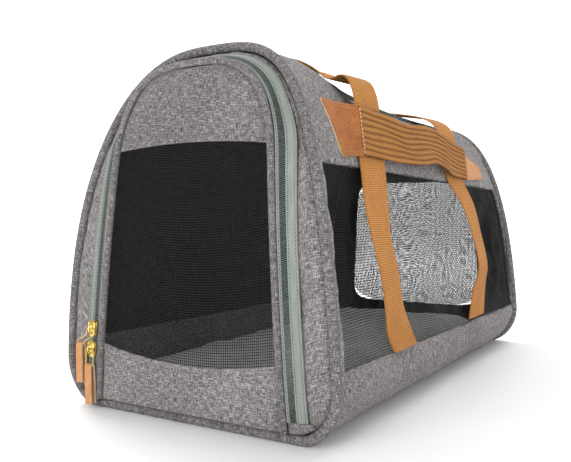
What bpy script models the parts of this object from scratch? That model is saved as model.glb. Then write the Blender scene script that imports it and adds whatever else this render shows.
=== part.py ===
"""Soft-sided pet carrier bag, standing on its base.

The bag is two upright arched rings joined by a fabric wrap. Metres, +Z up. The origin is on the ground under
the middle of the bag, -Y is the door end and +X the right-hand side seen from the door.
"""
import functools
import math

import bmesh
import bpy
import numpy as np
from mathutils import Matrix

# Body
LENGTH = 0.459             # from ring to ring, at the floor
HALF_WIDTH = 0.140         # at the front ring
HEIGHT = 0.310             # at the front ring
SIDE_POWER = 3.0           # the arch is |x / HALF_WIDTH|^3 + (z / HEIGHT)^2.085 = 1
ARCH_POWER = 2.085
CORNER = 0.042             # radius of the two bottom edges
REAR_WIDTH = 0.953         # rear ring relative to the front ring
REAR_HEIGHT = 0.855
REAR_SIDE_POWER = 4.27     # the rear ring is squarer at the shoulders
REAR_ARCH_POWER = 1.887
FRONT_LEAN = 0.043         # how far the front ring's apex leans back
REAR_LEAN = 0.0126         # how far the rear ring's apex leans forward
ROOF_SAG = 0.0118          # the roof hangs this much between the rings
ROOF_RISE = 0.0057         # and stands this much higher just behind the front ring
ROOF_RISE_END = 0.28
HALF_OUTLINE = 0.475       # about half the way round the wrap
FABRIC = 0.003             # padded wrap
LINING = 0.001
MESH = 0.0012
SET_BACK = 0.0006          # of the side window and side panel behind the cloth that they are sewn to
GAP = 0.0003               # between pieces that touch
PIPING_RADIUS = 0.004
RING_CLEAR = 0.0062        # from the wrap's surface in to a wall or gusset that meets a ring
HOOP_RADIUS = 0.0018
HOOP_INSET = 0.028         # share of the length between a ring and its hoop

# Window in the right-hand side, and the plain panel across from it, as heights on the front ring and
# fractions of the length
WINDOW_LOW = 0.056
WINDOW_TOP = 0.210
WINDOW_FRONT = 0.026
WINDOW_REAR = 0.982
BAND_LOW = 0.012           # the lower band starts here on the rounded bottom edge

# Rear window: a rounded trapezium, narrower towards its top
REAR_WINDOW_LOW = 0.041
REAR_WINDOW_TOP = 0.200
REAR_WINDOW_HALF = 0.0845  # half its width in the middle of its height
REAR_WINDOW_TAPER = 0.085
REAR_WINDOW_POWER = 9

# Roof flap and its zip
FLAP_HALF_WIDTH = 0.074
FLAP_FRONT = 0.22
FLAP_REAR = 0.80
ZIP_TAPE = 0.012
TAPE_THICK = 0.0012
COIL_THICK = 0.0018

# Door
DOOR_HALF_WIDTH = 0.0975   # at the floor
DOOR_TAPER = 0.075         # the sides close in this much for each metre up
DOOR_SPRING = 0.211        # the straight sides end here
DOOR_HEIGHT = 0.294
DOOR_ARCH_POWER = 2.6
DOOR_PROUD = 0.007         # in front of the ring's foot
DOOR_LEAN = 0.025
DOOR_FOOT = 0.0095
DOOR_THICK = 0.003
DOOR_PIPING_RADIUS = 0.003
DOOR_WINDOW_LOW = 0.059
DOOR_WINDOW_TOP = 0.224
DOOR_WINDOW_BOW = (-0.010, 0.0045)    # its lower and upper edges curve by this much in the middle
INNER_TAPE = (0.0036, 0.0060)
INNER_COIL = (0.0062, 0.0084)
OUTER_COIL = (0.0088, 0.0110)
OUTER_TAPE = (0.0113, 0.0200)
ZIP_FOOT = 0.018           # lowest end of the door zip
ZIP_PARK = 0.083           # below this height the left leg's inner half stays on the bag

# Webbing straps: places (height, y) of the middle of each side strap, from the top down, with how far it
# stands off the wrap and how many degrees the slack strap has turned about its own length
WEB_WIDTH = 0.045
WEB_THICK = 0.0018
SIDE_ROUTES = {
    "front": ((0.236, -0.117, 0.0015, 0), (0.212, -0.1235, 0.0015, 0), (0.178, -0.140, 0.0040, -2),
              (0.150, -0.147, 0.0060, -7), (0.120, -0.143, 0.0070, -8), (0.092, -0.138, 0.0055, -7),
              (0.070, -0.124, 0.0020, 0), (0.0545, -0.111, 0.0010, 0)),
    "rear": ((0.226, 0.075, 0.0015, 0), (0.196, 0.074, 0.0015, 0), (0.173, 0.080, 0.006, -4),
             (0.145, 0.078, 0.010, -8), (0.110, 0.074, 0.014, -8), (0.085, 0.081, 0.005, -3),
             (0.0545, 0.077, 0.0010, 0)),
}
# Carrying loops: places (half width, y, height) from behind the grip band up to the middle
LOOP_ROUTES = {
    "front": ((0.1060, -0.114, 0.2410), (0.1045, -0.111, 0.2620), (0.0990, -0.110, 0.2790),
              (0.0915, -0.110, 0.2855), (0.0780, -0.110, 0.2840), (0.0500, -0.110, 0.2960),
              (0.0, -0.110, 0.3020)),
    "rear": ((0.1060, 0.076, 0.2310), (0.1045, 0.077, 0.2440), (0.0965, 0.078, 0.2580),
             (0.0800, 0.078, 0.2660), (0.0450, 0.077, 0.2725), (0.0, 0.076, 0.2770)),
}
LOOP_ON_ROOF = 0.088       # inside this half width a loop may rest on the roof

# Grip band and the leather patches at its ends: y and the heights of its lower and upper edge
BAND_FRONT = (-0.143, 0.216, 0.257)
BAND_REAR = (0.101, 0.199, 0.240)
BAND_STANDOFF = 0.0045     # in front of the wrap at its lower edge, to pass the straps
BAND_OUT = 0.007           # it bows out this much more in the middle
BAND_THICK = 0.0025
LEATHER_THICK = 0.0020
FRONT_PATCH_OUTER = (-0.174, 0.214, 0.263)
REAR_PATCH_OUTER = (0.175, 0.200, 0.219)
PATCH_ROUNDING = 0.006

# Floor pieces
BOARD_THICK = 0.003
MAT_THICK = 0.028

# Zip hardware
SLIDER_SIZE = (0.009, 0.0035, 0.014)
SLIDERS = {"upper": (0.071, -0.0128), "lower": (0.053, -0.0004)}  # height, and how far out the pull hangs
ROOF_SLIDER_T = 0.47
WIRE = 0.0012
BAR_TO_BLOCK = 0.0012
BRIDGE = 0.0012
BRIDGE_WIDTH = 0.0024
BRIDGE_SPAN = 0.0080
LINK_WIDTH = 0.0090
LINK_DROP = 0.0155
LINK_STRAIGHT = (0.0052, 0.0038)  # its sides stay straight this far below the bar and above its lower end
PULL_WIDTH = 0.0066
PULL_LENGTH = 0.0325
PULL_LAYER = 0.0016        # the pull is one strip folded over the link
PULL_FOLD = 0.0021         # radius of the fold, to the middle of the leather

MATERIALS = {
    "grey_weave": ((0.28, 0.27, 0.27), 0.9, 0.0),
    "black_mesh": ((0.02, 0.02, 0.02), 0.7, 0.0),
    "black_lining": ((0.015, 0.015, 0.015), 0.9, 0.0),
    "mat_fabric": ((0.30, 0.30, 0.30), 0.95, 0.0),
    "tan_webbing": ((0.50, 0.25, 0.07), 0.85, 0.0),
    "tan_leather": ((0.48, 0.22, 0.10), 0.55, 0.0),
    "sage_zip": ((0.30, 0.34, 0.31), 0.8, 0.0),
    "dark_zip": ((0.05, 0.05, 0.055), 0.6, 0.0),
    "brass": ((0.75, 0.55, 0.22), 0.3, 1.0),
    "board": ((0.05, 0.05, 0.05), 0.7, 0.0),
    "spring_steel": ((0.5, 0.5, 0.5), 0.4, 1.0),
}


def remove_everything():
    for obj in list(bpy.data.objects):
        bpy.data.objects.remove(obj)


@functools.cache
def material(name):
    colour, roughness, metallic = MATERIALS[name]
    made = bpy.data.materials.new(name)
    made.use_nodes = True
    shader = made.node_tree.nodes["Principled BSDF"]
    shader.inputs["Base Color"].default_value = (*colour, 1.0)
    shader.inputs["Roughness"].default_value = roughness
    shader.inputs["Metallic"].default_value = metallic
    made.diffuse_color = (*colour, 1.0)
    return made


def place(name, data, finish, parent=None):
    """One object for each piece, with its own material."""
    data.name = name
    obj = bpy.data.objects.new(name, data)
    bpy.context.scene.collection.objects.link(obj)
    data.materials.append(material(finish))
    if parent:
        obj.parent = parent
    return obj


def smoothstep(value, low, high):
    x = min(max((value - low) / (high - low), 0.0), 1.0)
    return x * x * (3 - 2 * x)


# ---------------------------------------------------------------- body surface


def arch_half_width(z, width, height, t=0.0):
    side = SIDE_POWER + (REAR_SIDE_POWER - SIDE_POWER) * t
    arch = ARCH_POWER + (REAR_ARCH_POWER - ARCH_POWER) * t
    return width * (1 - min(z / height, 1.0) ** arch) ** (1 / side)


@functools.cache
def section(t):
    """Half an outline at fraction t of the length, from the middle of the floor round to the apex.

    Columns are x, z and the outward normal, evenly spaced along the outline.
    """
    width = HALF_WIDTH * (1 + (REAR_WIDTH - 1) * t)
    height = HEIGHT * (1 + (REAR_HEIGHT - 1) * t)
    centre = arch_half_width(CORNER, width, height, t) - CORNER
    corner = [
        (centre + CORNER * math.sin(a), CORNER - CORNER * math.cos(a))
        for a in np.linspace(0, math.pi / 2, 24)
    ]
    arch = [
        (arch_half_width(z, width, height, t), z)
        for z in CORNER + (height - CORNER) * np.sin(np.linspace(0, math.pi / 2, 160)[1:])
    ]
    outline = np.array([(0.0, 0.0), *corner, *arch])
    steps = np.linalg.norm(np.diff(outline, axis=0), axis=1)
    along = np.concatenate([[0], np.cumsum(steps)])
    at = np.linspace(0, along[-1], 400)
    x, z = np.interp(at, along, outline[:, 0]), np.interp(at, along, outline[:, 1])
    dx, dz = np.gradient(x), np.gradient(z)
    size = np.hypot(dx, dz)
    normal_x, normal_z = dz / size, -dx / size
    normal_x[0], normal_z[0] = 0.0, -1.0
    normal_x[-1], normal_z[-1] = 0.0, 1.0
    return np.column_stack([x, z, normal_x, normal_z])


def front_y(z):
    return -LENGTH / 2 + FRONT_LEAN * (z / HEIGHT) ** 3


def rear_y(z):
    return LENGTH / 2 - REAR_LEAN * (z / (HEIGHT * REAR_HEIGHT)) ** 2


def wrap_point(v, t, offset=0.0):
    """A point of the wrap: v is 0 at the apex, 1 in the middle of the floor, and negative on the left.

    t runs from 0 at the front ring to 1 at the rear one, and offset moves the point out along the normal.
    """
    v = (v + 1) % 2 - 1
    table = section(round(t, 6))
    at = np.linspace(0, 1, len(table))
    x, z, nx, nz = (np.interp(1 - abs(v), at, column) for column in table.T)
    y = (1 - t) * front_y(z) + t * rear_y(z)
    along = min(max(t, 0.0), 1.0)
    hang = ROOF_SAG * math.sin(math.pi * along**1.1) ** 1.2
    rise = ROOF_RISE * math.sin(math.pi * min(along / ROOF_RISE_END, 1.0)) ** 2
    sag = smoothstep(z / HEIGHT, 0.70, 0.97) * (hang - rise)
    side = -1.0 if v < 0 else 1.0
    return np.array([side * (x + offset * nx), y, z + offset * nz - sag])


def v_at_height(z):
    heights = section(0.0)[1:, 1]
    return 1 - float(np.interp(z, heights, np.linspace(0, 1, len(heights) + 1)[1:]))


def v_at_half_width(x):
    """On the roof, where the outline comes back in to this half width."""
    table = section(0.0)
    upper = table[:, 1] > HEIGHT / 2
    at = np.linspace(0, 1, len(table))[upper]
    return 1 - float(np.interp(-x, -table[upper, 0], at))


def side_point(y, z, offset=0.0):
    """The point of the right-hand side at this place along the bag and this height."""
    low, high = 0.25, 0.98
    t = (y - front_y(z)) / (rear_y(z) - front_y(z))
    for _ in range(40):
        middle = (low + high) / 2
        if wrap_point(1 - middle, t)[2] < z:
            low = middle
        else:
            high = middle
    x = wrap_point(1 - (low + high) / 2, t, offset)[0]
    return np.array([x, y, z])


# ---------------------------------------------------------------- mesh builders


def closed_mesh(name, mesh):
    """The finished mesh of a closed solid, its faces pointing out."""
    bmesh.ops.recalc_face_normals(mesh, faces=mesh.faces)
    if mesh.calc_volume(signed=True) < 0:
        bmesh.ops.reverse_faces(mesh, faces=mesh.faces)
    data = bpy.data.meshes.new(name)
    mesh.to_mesh(data)
    mesh.free()
    data.shade_smooth()
    data.set_sharp_from_angle(angle=math.radians(40))
    return data


def grid_solid(name, outer, inner, finish, keep=None, parent=None):
    """A closed solid between two matching grids of points, leaving out the cells that keep refuses."""
    rows, columns = len(outer), len(outer[0])
    mesh = bmesh.new()
    origin = parent.location if parent else (0, 0, 0)

    def vertices(grid):
        return [[mesh.verts.new(np.asarray(p) - origin) for p in row] for row in grid]

    top, bottom = vertices(outer), vertices(inner)

    def kept(i, j):
        inside = 0 <= i < rows - 1 and 0 <= j < columns - 1
        return inside and (keep is None or keep(i, j))

    for i in range(rows - 1):
        for j in range(columns - 1):
            if not kept(i, j):
                continue
            corners = ((i, j), (i + 1, j), (i + 1, j + 1), (i, j + 1))
            mesh.faces.new([top[a][b] for a, b in corners])
            mesh.faces.new([bottom[a][b] for a, b in reversed(corners)])
            beyond = ((i, j - 1), (i + 1, j), (i, j + 1), (i - 1, j))
            for start, end, cell in zip(corners, corners[1:] + corners[:1], beyond):
                if not kept(*cell):
                    a, b = start, end
                    mesh.faces.new(
                        [bottom[a[0]][a[1]], bottom[b[0]][b[1]], top[b[0]][b[1]], top[a[0]][a[1]]]
                    )
    bmesh.ops.delete(mesh, geom=[v for v in mesh.verts if not v.link_faces], context="VERTS")
    return place(name, closed_mesh(name, mesh), finish, parent)


def wrap_panel(name, vs, ts, outer, inner, finish, keep=None):
    """A piece of the wrap between two offsets from its surface."""
    grids = [[[wrap_point(v, t, offset) for v in vs] for t in ts] for offset in (outer, inner)]
    return grid_solid(name, *grids, finish, keep)


def tube(name, points, radius, finish, cyclic=False, parent=None, roundness=1, local=False):
    curve = bpy.data.curves.new(name, "CURVE")
    curve.dimensions = "3D"
    curve.bevel_depth = radius
    curve.bevel_resolution = roundness
    curve.use_fill_caps = not cyclic
    origin = np.array(parent.location) if parent and not local else np.zeros(3)
    spline = curve.splines.new("POLY")
    spline.points.add(len(points) - 1)
    for target, point in zip(spline.points, points):
        target.co = (*(np.asarray(point) - origin), 1.0)
    spline.use_cyclic_u = cyclic
    return place(name, curve, finish, parent)


def box_mesh(mesh, centre, size):
    made = bmesh.ops.create_cube(mesh, size=1.0)["verts"]
    bmesh.ops.scale(mesh, vec=size, verts=made)
    bmesh.ops.translate(mesh, vec=centre, verts=made)


def box(name, centre, size, finish, parent=None, rounding=0.0):
    """A box about the parent's origin, with rounded edges."""
    mesh = bmesh.new()
    box_mesh(mesh, centre, size)
    data = bpy.data.meshes.new(name)
    mesh.to_mesh(data)
    mesh.free()
    obj = place(name, data, finish, parent)
    if rounding:
        bevel = obj.modifiers.new("rounded edges", "BEVEL")
        bevel.width = rounding
        bevel.segments = 2
    return obj


def empty(name, location):
    obj = bpy.data.objects.new(name, None)
    obj.location = location
    bpy.context.scene.collection.objects.link(obj)
    return obj


def smooth_curve(points, count):
    """A Catmull-Rom curve through a few points, read at evenly spaced places along it.

    A fourth column is carried along.
    """
    points = np.asarray(points, float)
    ends = np.vstack([2 * points[0] - points[1], points, 2 * points[-1] - points[-2]])
    dense = []
    for a, b, c, d in zip(ends, ends[1:], ends[2:], ends[3:]):
        for s in np.linspace(0, 1, 20, endpoint=False):
            dense.append(
                0.5 * (2 * b + (c - a) * s + (2 * a - 5 * b + 4 * c - d) * s**2
                       + (3 * b - a - 3 * c + d) * s**3)
            )
    dense = np.array([*dense, points[-1]])
    steps = np.linalg.norm(np.diff(dense[:, :3], axis=0), axis=1)
    along = np.concatenate([[0], np.cumsum(steps)])
    at = np.linspace(0, along[-1], count)
    return np.column_stack([np.interp(at, along, column) for column in dense.T])


# ---------------------------------------------------------------- wrap, rings and floor


def ring_path(t, offset, count, lowest):
    """A closed path round the ring, flattened where it lies on the ground."""
    path = [wrap_point(v, t, offset) for v in np.linspace(-1, 1, count, endpoint=False)]
    return [(x, y, max(z, lowest)) for x, y, z in path]


def make_rings():
    for name, t, inwards in (("front", 0.0, HOOP_INSET), ("rear", 1.0, -HOOP_INSET)):
        path = ring_path(t, -0.001, 72, PIPING_RADIUS)
        tube(f"{name}_piping", path, PIPING_RADIUS, "grey_weave", cyclic=True)
        depth = -(FABRIC + LINING + HOOP_RADIUS + 5 * GAP)
        hoop = ring_path(t + inwards, depth, 56, FABRIC + HOOP_RADIUS + 2 * GAP)
        tube(f"{name}_hoop", hoop, HOOP_RADIUS, "spring_steel", cyclic=True, roundness=0)


def wrap_ends():
    """Where the wrap starts and stops along the length, clear of the piping."""
    margin = 1.55 * PIPING_RADIUS / LENGTH
    return margin, 1 - margin


def make_wrap():
    start, stop = wrap_ends()
    low, top, foot = (v_at_height(z) for z in (WINDOW_LOW, WINDOW_TOP, BAND_LOW))
    slit = GAP
    ts = [start, *np.linspace(WINDOW_FRONT, WINDOW_REAR, 15), stop]
    floor = np.linspace(foot + slit, 2 - foot - slit, 15)
    wrap_panel("bottom_panel", floor, ts, 0.0, -FABRIC, "grey_weave")
    for side, name in ((1, "right"), (-1, "left")):
        band = side * np.linspace(foot - slit, low + slit, 6)
        wrap_panel(f"side_band_{name}", band, ts, 0.0, -FABRIC, "grey_weave")
        window = side * np.linspace(low - slit, top + slit, 9)
        window_ts = np.linspace(WINDOW_FRONT + slit, WINDOW_REAR - slit, 15)
        if side > 0:
            wrap_panel("side_mesh", window, window_ts, -SET_BACK, -SET_BACK - MESH, "black_mesh")
        else:
            wrap_panel("side_panel", window, window_ts, -SET_BACK, -SET_BACK - FABRIC, "grey_weave")
    make_roof(ts, low, top)


def make_roof(ts, low, top):
    """Roof and shoulders in one, with the strips beside the side windows, and the hole for the flap."""
    edge = v_at_half_width(FLAP_HALF_WIDTH)
    half = [*np.linspace(0, edge, 6), *np.linspace(edge, top, 6)[1:], *np.linspace(top, low, 7)[1:]]
    vs = [-v for v in reversed(half[1:])] + half
    roof_ts = sorted({FLAP_FRONT, FLAP_REAR, *ts})

    def keep(i, j):
        t = (roof_ts[i] + roof_ts[i + 1]) / 2
        v = abs(vs[j] + vs[j + 1]) / 2
        beside_window = v > top and WINDOW_FRONT < t < WINDOW_REAR
        in_flap = v < edge and FLAP_FRONT < t < FLAP_REAR
        return not beside_window and not in_flap

    wrap_panel("roof_panel", vs, roof_ts, 0.0, -FABRIC, "grey_weave", keep)
    make_flap(edge, roof_ts)
    lining_vs = [v for v in vs if abs(v) <= top]
    under = -(FABRIC + 3 * GAP)
    wrap_panel("lining_roof", lining_vs, roof_ts[1:-1], under, under - LINING, "black_lining")


def make_flap(edge, roof_ts):
    """The flap, sewn on at the rear, and the zip up its right-hand side, across its front and down its left.

    The tape lies just under the outer face of the roof.
    """
    across = (ZIP_TAPE + 2 * GAP) / HALF_OUTLINE
    along = (ZIP_TAPE + 2 * GAP) / LENGTH
    slit, slit_t = 2 * GAP / HALF_OUTLINE, GAP / LENGTH
    vs = np.linspace(-edge + across, edge - across, 12)
    first, last = FLAP_FRONT + along, FLAP_REAR - slit_t
    between = [t for t in roof_ts if first + slit_t < t < last - slit_t]
    wrap_panel("top_flap", vs, [first, *between, last], 0.0, -FABRIC, "grey_weave")

    zip_vs = [-edge + slit, *np.linspace(-edge + across - slit, edge - across + slit, 12), edge - slit]
    zip_ts = [FLAP_FRONT + slit_t, first - slit_t, *between, last]

    def on_edge(i, j):
        return j in (0, len(zip_vs) - 2) or i == 0

    wrap_panel("top_zip", zip_vs, zip_ts, -0.0002, -0.0002 - TAPE_THICK, "dark_zip", on_edge)


def wall_solid(name, outer, inner, finish):
    """Two discs of matching closed rings, joined round their rims."""
    mesh = bmesh.new()
    sheets = []
    for grid in (outer, inner):
        sheet = [[mesh.verts.new(p) for p in ring[:-1]] for ring in grid[:-1]]
        centre = mesh.verts.new(grid[-1][0])
        count = len(sheet[0])
        for a, b in zip(sheet, sheet[1:]):
            for k in range(count):
                mesh.faces.new([a[k], a[(k + 1) % count], b[(k + 1) % count], b[k]])
        for k in range(count):
            mesh.faces.new([sheet[-1][k], sheet[-1][(k + 1) % count], centre])
        sheets.append(sheet)
    rim, other = sheets[0][0], sheets[1][0]
    for k in range(len(rim)):
        mesh.faces.new([rim[k], rim[(k + 1) % len(rim)], other[(k + 1) % len(rim)], other[k]])
    return place(name, closed_mesh(name, mesh), finish)


def rear_rim(offset, around):
    """The rear wall's edge, just inside the rear ring: one row of points round it."""
    edge = np.array([wrap_point(v, 1.0, offset) for v in around])
    edge[:, 2] = np.maximum(edge[:, 2], 2 * PIPING_RADIUS + GAP)
    return edge


def rear_window(edge, clearance=0.0):
    """The window's outline where the lines from its centre to the points of an edge cross it."""
    centre = (REAR_WINDOW_LOW + REAR_WINDOW_TOP) / 2
    half_height = (REAR_WINDOW_TOP - REAR_WINDOW_LOW) / 2
    outline = edge.copy()
    for point in outline:
        x, z = point[0], point[2] - centre
        size = abs(x / REAR_WINDOW_HALF) ** REAR_WINDOW_POWER + abs(z / half_height) ** REAR_WINDOW_POWER
        scale = size ** (-1 / REAR_WINDOW_POWER) * (1 - clearance / half_height)
        z = z * scale
        point[0] = x * scale * (1 - REAR_WINDOW_TAPER * z / REAR_WINDOW_HALF)
        point[2] = centre + z
    return outline


def rear_rings(edge, target, shares, inwards):
    """Rows of points between an edge and what it shrinks to, on the rear wall's surface."""
    rows = []
    for share in shares:
        row = target + (edge - target) * share
        row[:, 1] = [rear_y(z) - inwards for z in row[:, 2]]
        rows.append(row)
    return rows


def make_rear():
    """The rear wall: fabric and lining round a window of net."""
    around = np.linspace(-1, 1, 73)
    edge = rear_rim(-RING_CLEAR, around)
    lining_edge = rear_rim(-(FABRIC + LINING + 2 * HOOP_RADIUS + 9 * GAP), around)
    outer, shares = -0.0015, np.linspace(1, 0, 5)
    lined = outer + FABRIC + GAP
    for name, rim, first, thick, finish in (
        ("rear_panel", edge, outer, FABRIC, "grey_weave"),
        ("lining_rear", lining_edge, lined, LINING, "black_lining"),
    ):
        faces = [rear_rings(rim, rear_window(rim), shares, first + depth) for depth in (0.0, thick)]
        grid_solid_closed(name, faces[0], faces[1], finish)
    net_edge = rear_window(edge, GAP)
    middle = np.tile([0.0, 0.0, (REAR_WINDOW_LOW + REAR_WINDOW_TOP) / 2], (len(around), 1))
    net_shares = np.linspace(1, 0, 6)
    faces = [rear_rings(net_edge, middle, net_shares, outer + depth) for depth in (0.0008, 0.0008 + MESH)]
    wall_solid("rear_mesh", faces[0], faces[1], "black_mesh")


def grid_solid_closed(name, outer, inner, finish):
    """A closed band between two matching sets of rings, each of which ends on its first point."""
    mesh = bmesh.new()
    sheets = [[[mesh.verts.new(p) for p in ring[:-1]] for ring in grid] for grid in (outer, inner)]
    count = len(sheets[0][0])

    def join(a, b):
        for k in range(count):
            mesh.faces.new([a[k], a[(k + 1) % count], b[(k + 1) % count], b[k]])

    for sheet in sheets:
        for a, b in zip(sheet, sheet[1:]):
            join(a, b)
    join(sheets[0][0], sheets[1][0])
    join(sheets[0][-1], sheets[1][-1])
    return place(name, closed_mesh(name, mesh), finish)


def make_floor():
    """The board and the mat, cut back from the hoops and the rounded edges."""
    half_length = LENGTH / 2 - 0.020
    board_half_width = HALF_WIDTH * REAR_WIDTH - CORNER - 0.004
    board_low = FABRIC + 2 * GAP
    mat_low = board_low + BOARD_THICK + GAP
    box(
        "base_board", (0, 0, board_low + BOARD_THICK / 2),
        (2 * board_half_width, 2 * half_length, BOARD_THICK), "board",
    )
    mat_half_width = board_half_width + 0.018
    box(
        "base_mat", (0, 0, mat_low + MAT_THICK / 2),
        (2 * mat_half_width, 2 * half_length, MAT_THICK), "mat_fabric", rounding=0.005,
    )


# ---------------------------------------------------------------- door end


def door_y(z):
    return -LENGTH / 2 - DOOR_PROUD + DOOR_LEAN * (z / HEIGHT) ** 2


def door_half_width(z):
    rise = min(max(z - DOOR_SPRING, 0.0) / (DOOR_HEIGHT - DOOR_SPRING), 1.0)
    return (DOOR_HALF_WIDTH - DOOR_TAPER * z) * (1 - rise**DOOR_ARCH_POWER) ** (1 / 3)


@functools.cache
def door_outline():
    """Half the door's edge from its right foot up to the apex: x, z and the outward normal."""
    legs = np.linspace(DOOR_FOOT, DOOR_SPRING, 60)
    arch = DOOR_SPRING + (DOOR_HEIGHT - DOOR_SPRING) * np.sin(np.linspace(0, math.pi / 2, 120)[1:])
    outline = np.array([(door_half_width(z), z) for z in [*legs, *arch]])
    steps = np.linalg.norm(np.diff(outline, axis=0), axis=1)
    along = np.concatenate([[0], np.cumsum(steps)])
    at = np.linspace(0, along[-1], 300)
    x, z = np.interp(at, along, outline[:, 0]), np.interp(at, along, outline[:, 1])
    dx, dz = np.gradient(x), np.gradient(z)
    size = np.hypot(dx, dz)
    normal_x, normal_z = dz / size, -dx / size
    normal_x[-1], normal_z[-1] = 0.0, 1.0
    return np.column_stack([x, z, normal_x, normal_z])


def door_edge(w):
    """A point of the door's edge: w is 1 at the right foot, 0 at the apex and -1 at the left foot."""
    table = door_outline()
    at = np.linspace(0, 1, len(table))
    x, z = (np.interp(1 - abs(w), at, column) for column in table.T[:2])
    return np.array([-x if w < 0 else x, door_y(z), z])


def w_at_height(z):
    """How far round the door's edge this height is, on the straight sides."""
    table = door_outline()
    return 1 - float(np.interp(z, table[:, 1], np.linspace(0, 1, len(table))))


def v_of_rim(z):
    """Where the line just inside the front ring's piping is at this height."""
    table = section(0.0)[1:]
    heights = table[:, 1] - RING_CLEAR * table[:, 3]
    return 1 - float(np.interp(z, heights, np.linspace(0, 1, len(table) + 1)[1:]))


@functools.cache
def gusset(w):
    """The gusset beside the door at w: its start on the door's edge, its direction out to the front ring, and
    its outward normal. On the straight sides it runs level, and over the arch it spreads evenly."""
    start = door_edge(w)
    spring = w_at_height(DOOR_SPRING)
    if abs(w) > spring:
        v = v_of_rim(start[2])
    else:
        v = v_of_rim(DOOR_SPRING) * abs(w) / spring
    end = wrap_point(v if w >= 0 else -v, 0.0, -RING_CLEAR)
    direction = (end - start) / np.linalg.norm(end - start)
    tangent = door_edge(w - 0.002) - door_edge(w + 0.002)
    normal = np.cross(direction, tangent)
    normal = normal / np.linalg.norm(normal)
    if normal[1] > 0:
        normal = -normal
    return start, direction, normal, end


def gusset_point(w, distance, forward):
    """A point of the gusset this far from the door's edge and this far in front of the fabric."""
    start, direction, normal, end = gusset(round(float(w), 9))
    first, last = INNER_TAPE[0], OUTER_TAPE[1]
    room = (np.linalg.norm(end - start) - 0.004 - first) / (last - first)
    distance = first + (distance - first) * min(room, 1.0)
    return start + direction * distance + normal * forward


def zip_half(name, ws, tape, coil, parent=None):
    """A tape with the coil raised along one edge, as one stepped strip."""
    coil_last = coil[0] > tape[0]
    edges = (*tape, coil[1]) if coil_last else (coil[0], *tape)
    raised = (TAPE_THICK, TAPE_THICK, COIL_THICK) if coil_last else (COIL_THICK, TAPE_THICK, TAPE_THICK)
    outer = [[gusset_point(w, o, rise) for o, rise in zip(edges, raised)] for w in ws]
    inner = [[gusset_point(w, o, 0.0) for o in edges] for w in ws]
    return grid_solid(name, outer, inner, "sage_zip", parent=parent)


def make_border():
    """The gusset fabric from the zip out to the front ring, and all of the gusset below the zip's ends."""
    half = []
    full = w_at_height(ZIP_FOOT)
    for w in np.linspace(1, w_at_height(ZIP_FOOT - GAP), 3):
        half.append((gusset_point(w, INNER_TAPE[0], 0.0), gusset(round(float(w), 9))[3]))
    for w in np.linspace(full, 0, 29):
        half.append((gusset_point(w, OUTER_TAPE[1] + GAP, 0.0), gusset(round(float(w), 9))[3]))
    mirror = np.array([-1, 1, 1])
    pairs = half + [(a * mirror, b * mirror) for a, b in half[-2::-1]]
    outer = [[a + (b - a) * share for share in np.linspace(0, 1, 5)] for a, b in pairs]
    inner = [[p + (0, FABRIC, 0) for p in row] for row in outer]
    grid_solid("front_border", outer, inner, "grey_weave")


def make_front_zips(door):
    full = w_at_height(ZIP_FOOT)
    outer_ws = np.linspace(full, -full, 57)
    zip_half("front_zip_outer", outer_ws, OUTER_TAPE, OUTER_COIL)
    left = w_at_height(ZIP_PARK)
    inner_ws = [*(w for w in outer_ws if w > 0.004 - left), -left]
    zip_half("door_zip_inner", inner_ws, INNER_TAPE, INNER_COIL, parent=door)
    foot_ws = np.linspace(-left - 0.0015, -full, 6)
    zip_half("front_zip_foot", foot_ws, INNER_TAPE, INNER_COIL)


def door_row(z, inset, forward):
    """One level of the door, from its right edge to its left, inset from the edge, bowed with the window."""
    table = door_outline()
    edge_x, edge_z = table[:, 0] - inset * table[:, 2], table[:, 1] - inset * table[:, 3]
    half_width = float(np.interp(z, edge_z, edge_x))
    levels = (DOOR_FOOT, DOOR_WINDOW_LOW, DOOR_WINDOW_TOP, DOOR_HEIGHT)
    bow = np.interp(z, levels, (0.0, *DOOR_WINDOW_BOW, 0.0))
    row = []
    for share in np.linspace(1, -1, 13):
        level = z + bow * (1 - share**2)
        row.append(np.array([half_width * share, door_y(level) - forward, level]))
    return row


def door_panel(name, heights, thick, forward, finish, parent):
    inset = DOOR_PIPING_RADIUS + 2 * GAP
    outer = [door_row(z, inset, forward) for z in heights]
    inner = [door_row(z, inset, forward - thick) for z in heights]
    return grid_solid(name, outer, inner, finish, parent=parent)


def make_door():
    """The door turns on the front edge of its foot, where it is sewn to the floor."""
    pivot = empty("door_hinge", (0.0, door_y(DOOR_FOOT) - DOOR_PIPING_RADIUS, DOOR_FOOT))
    low = [*np.linspace(DOOR_FOOT, DOOR_WINDOW_LOW - GAP, 4)]
    window = np.linspace(DOOR_WINDOW_LOW + GAP, DOOR_WINDOW_TOP - GAP, 12)
    crown = DOOR_HEIGHT - DOOR_PIPING_RADIUS - 2 * GAP
    above = DOOR_WINDOW_TOP + GAP + (crown - 0.002 - DOOR_WINDOW_TOP) * np.sin(np.linspace(0, math.pi / 2, 9))
    door_panel("door_bottom_panel", low, DOOR_THICK, 0.0, "grey_weave", pivot)
    door_panel("door_mesh", window, MESH, -0.0008, "black_mesh", pivot)
    door_panel("door_top_panel", above, DOOR_THICK, 0.0, "grey_weave", pivot)
    path = [door_edge(w) for w in np.linspace(1, -1, 49)]
    tube("door_piping", path, DOOR_PIPING_RADIUS, "grey_weave", parent=pivot)
    make_front_zips(pivot)


# ---------------------------------------------------------------- straps, bands and patches


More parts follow.
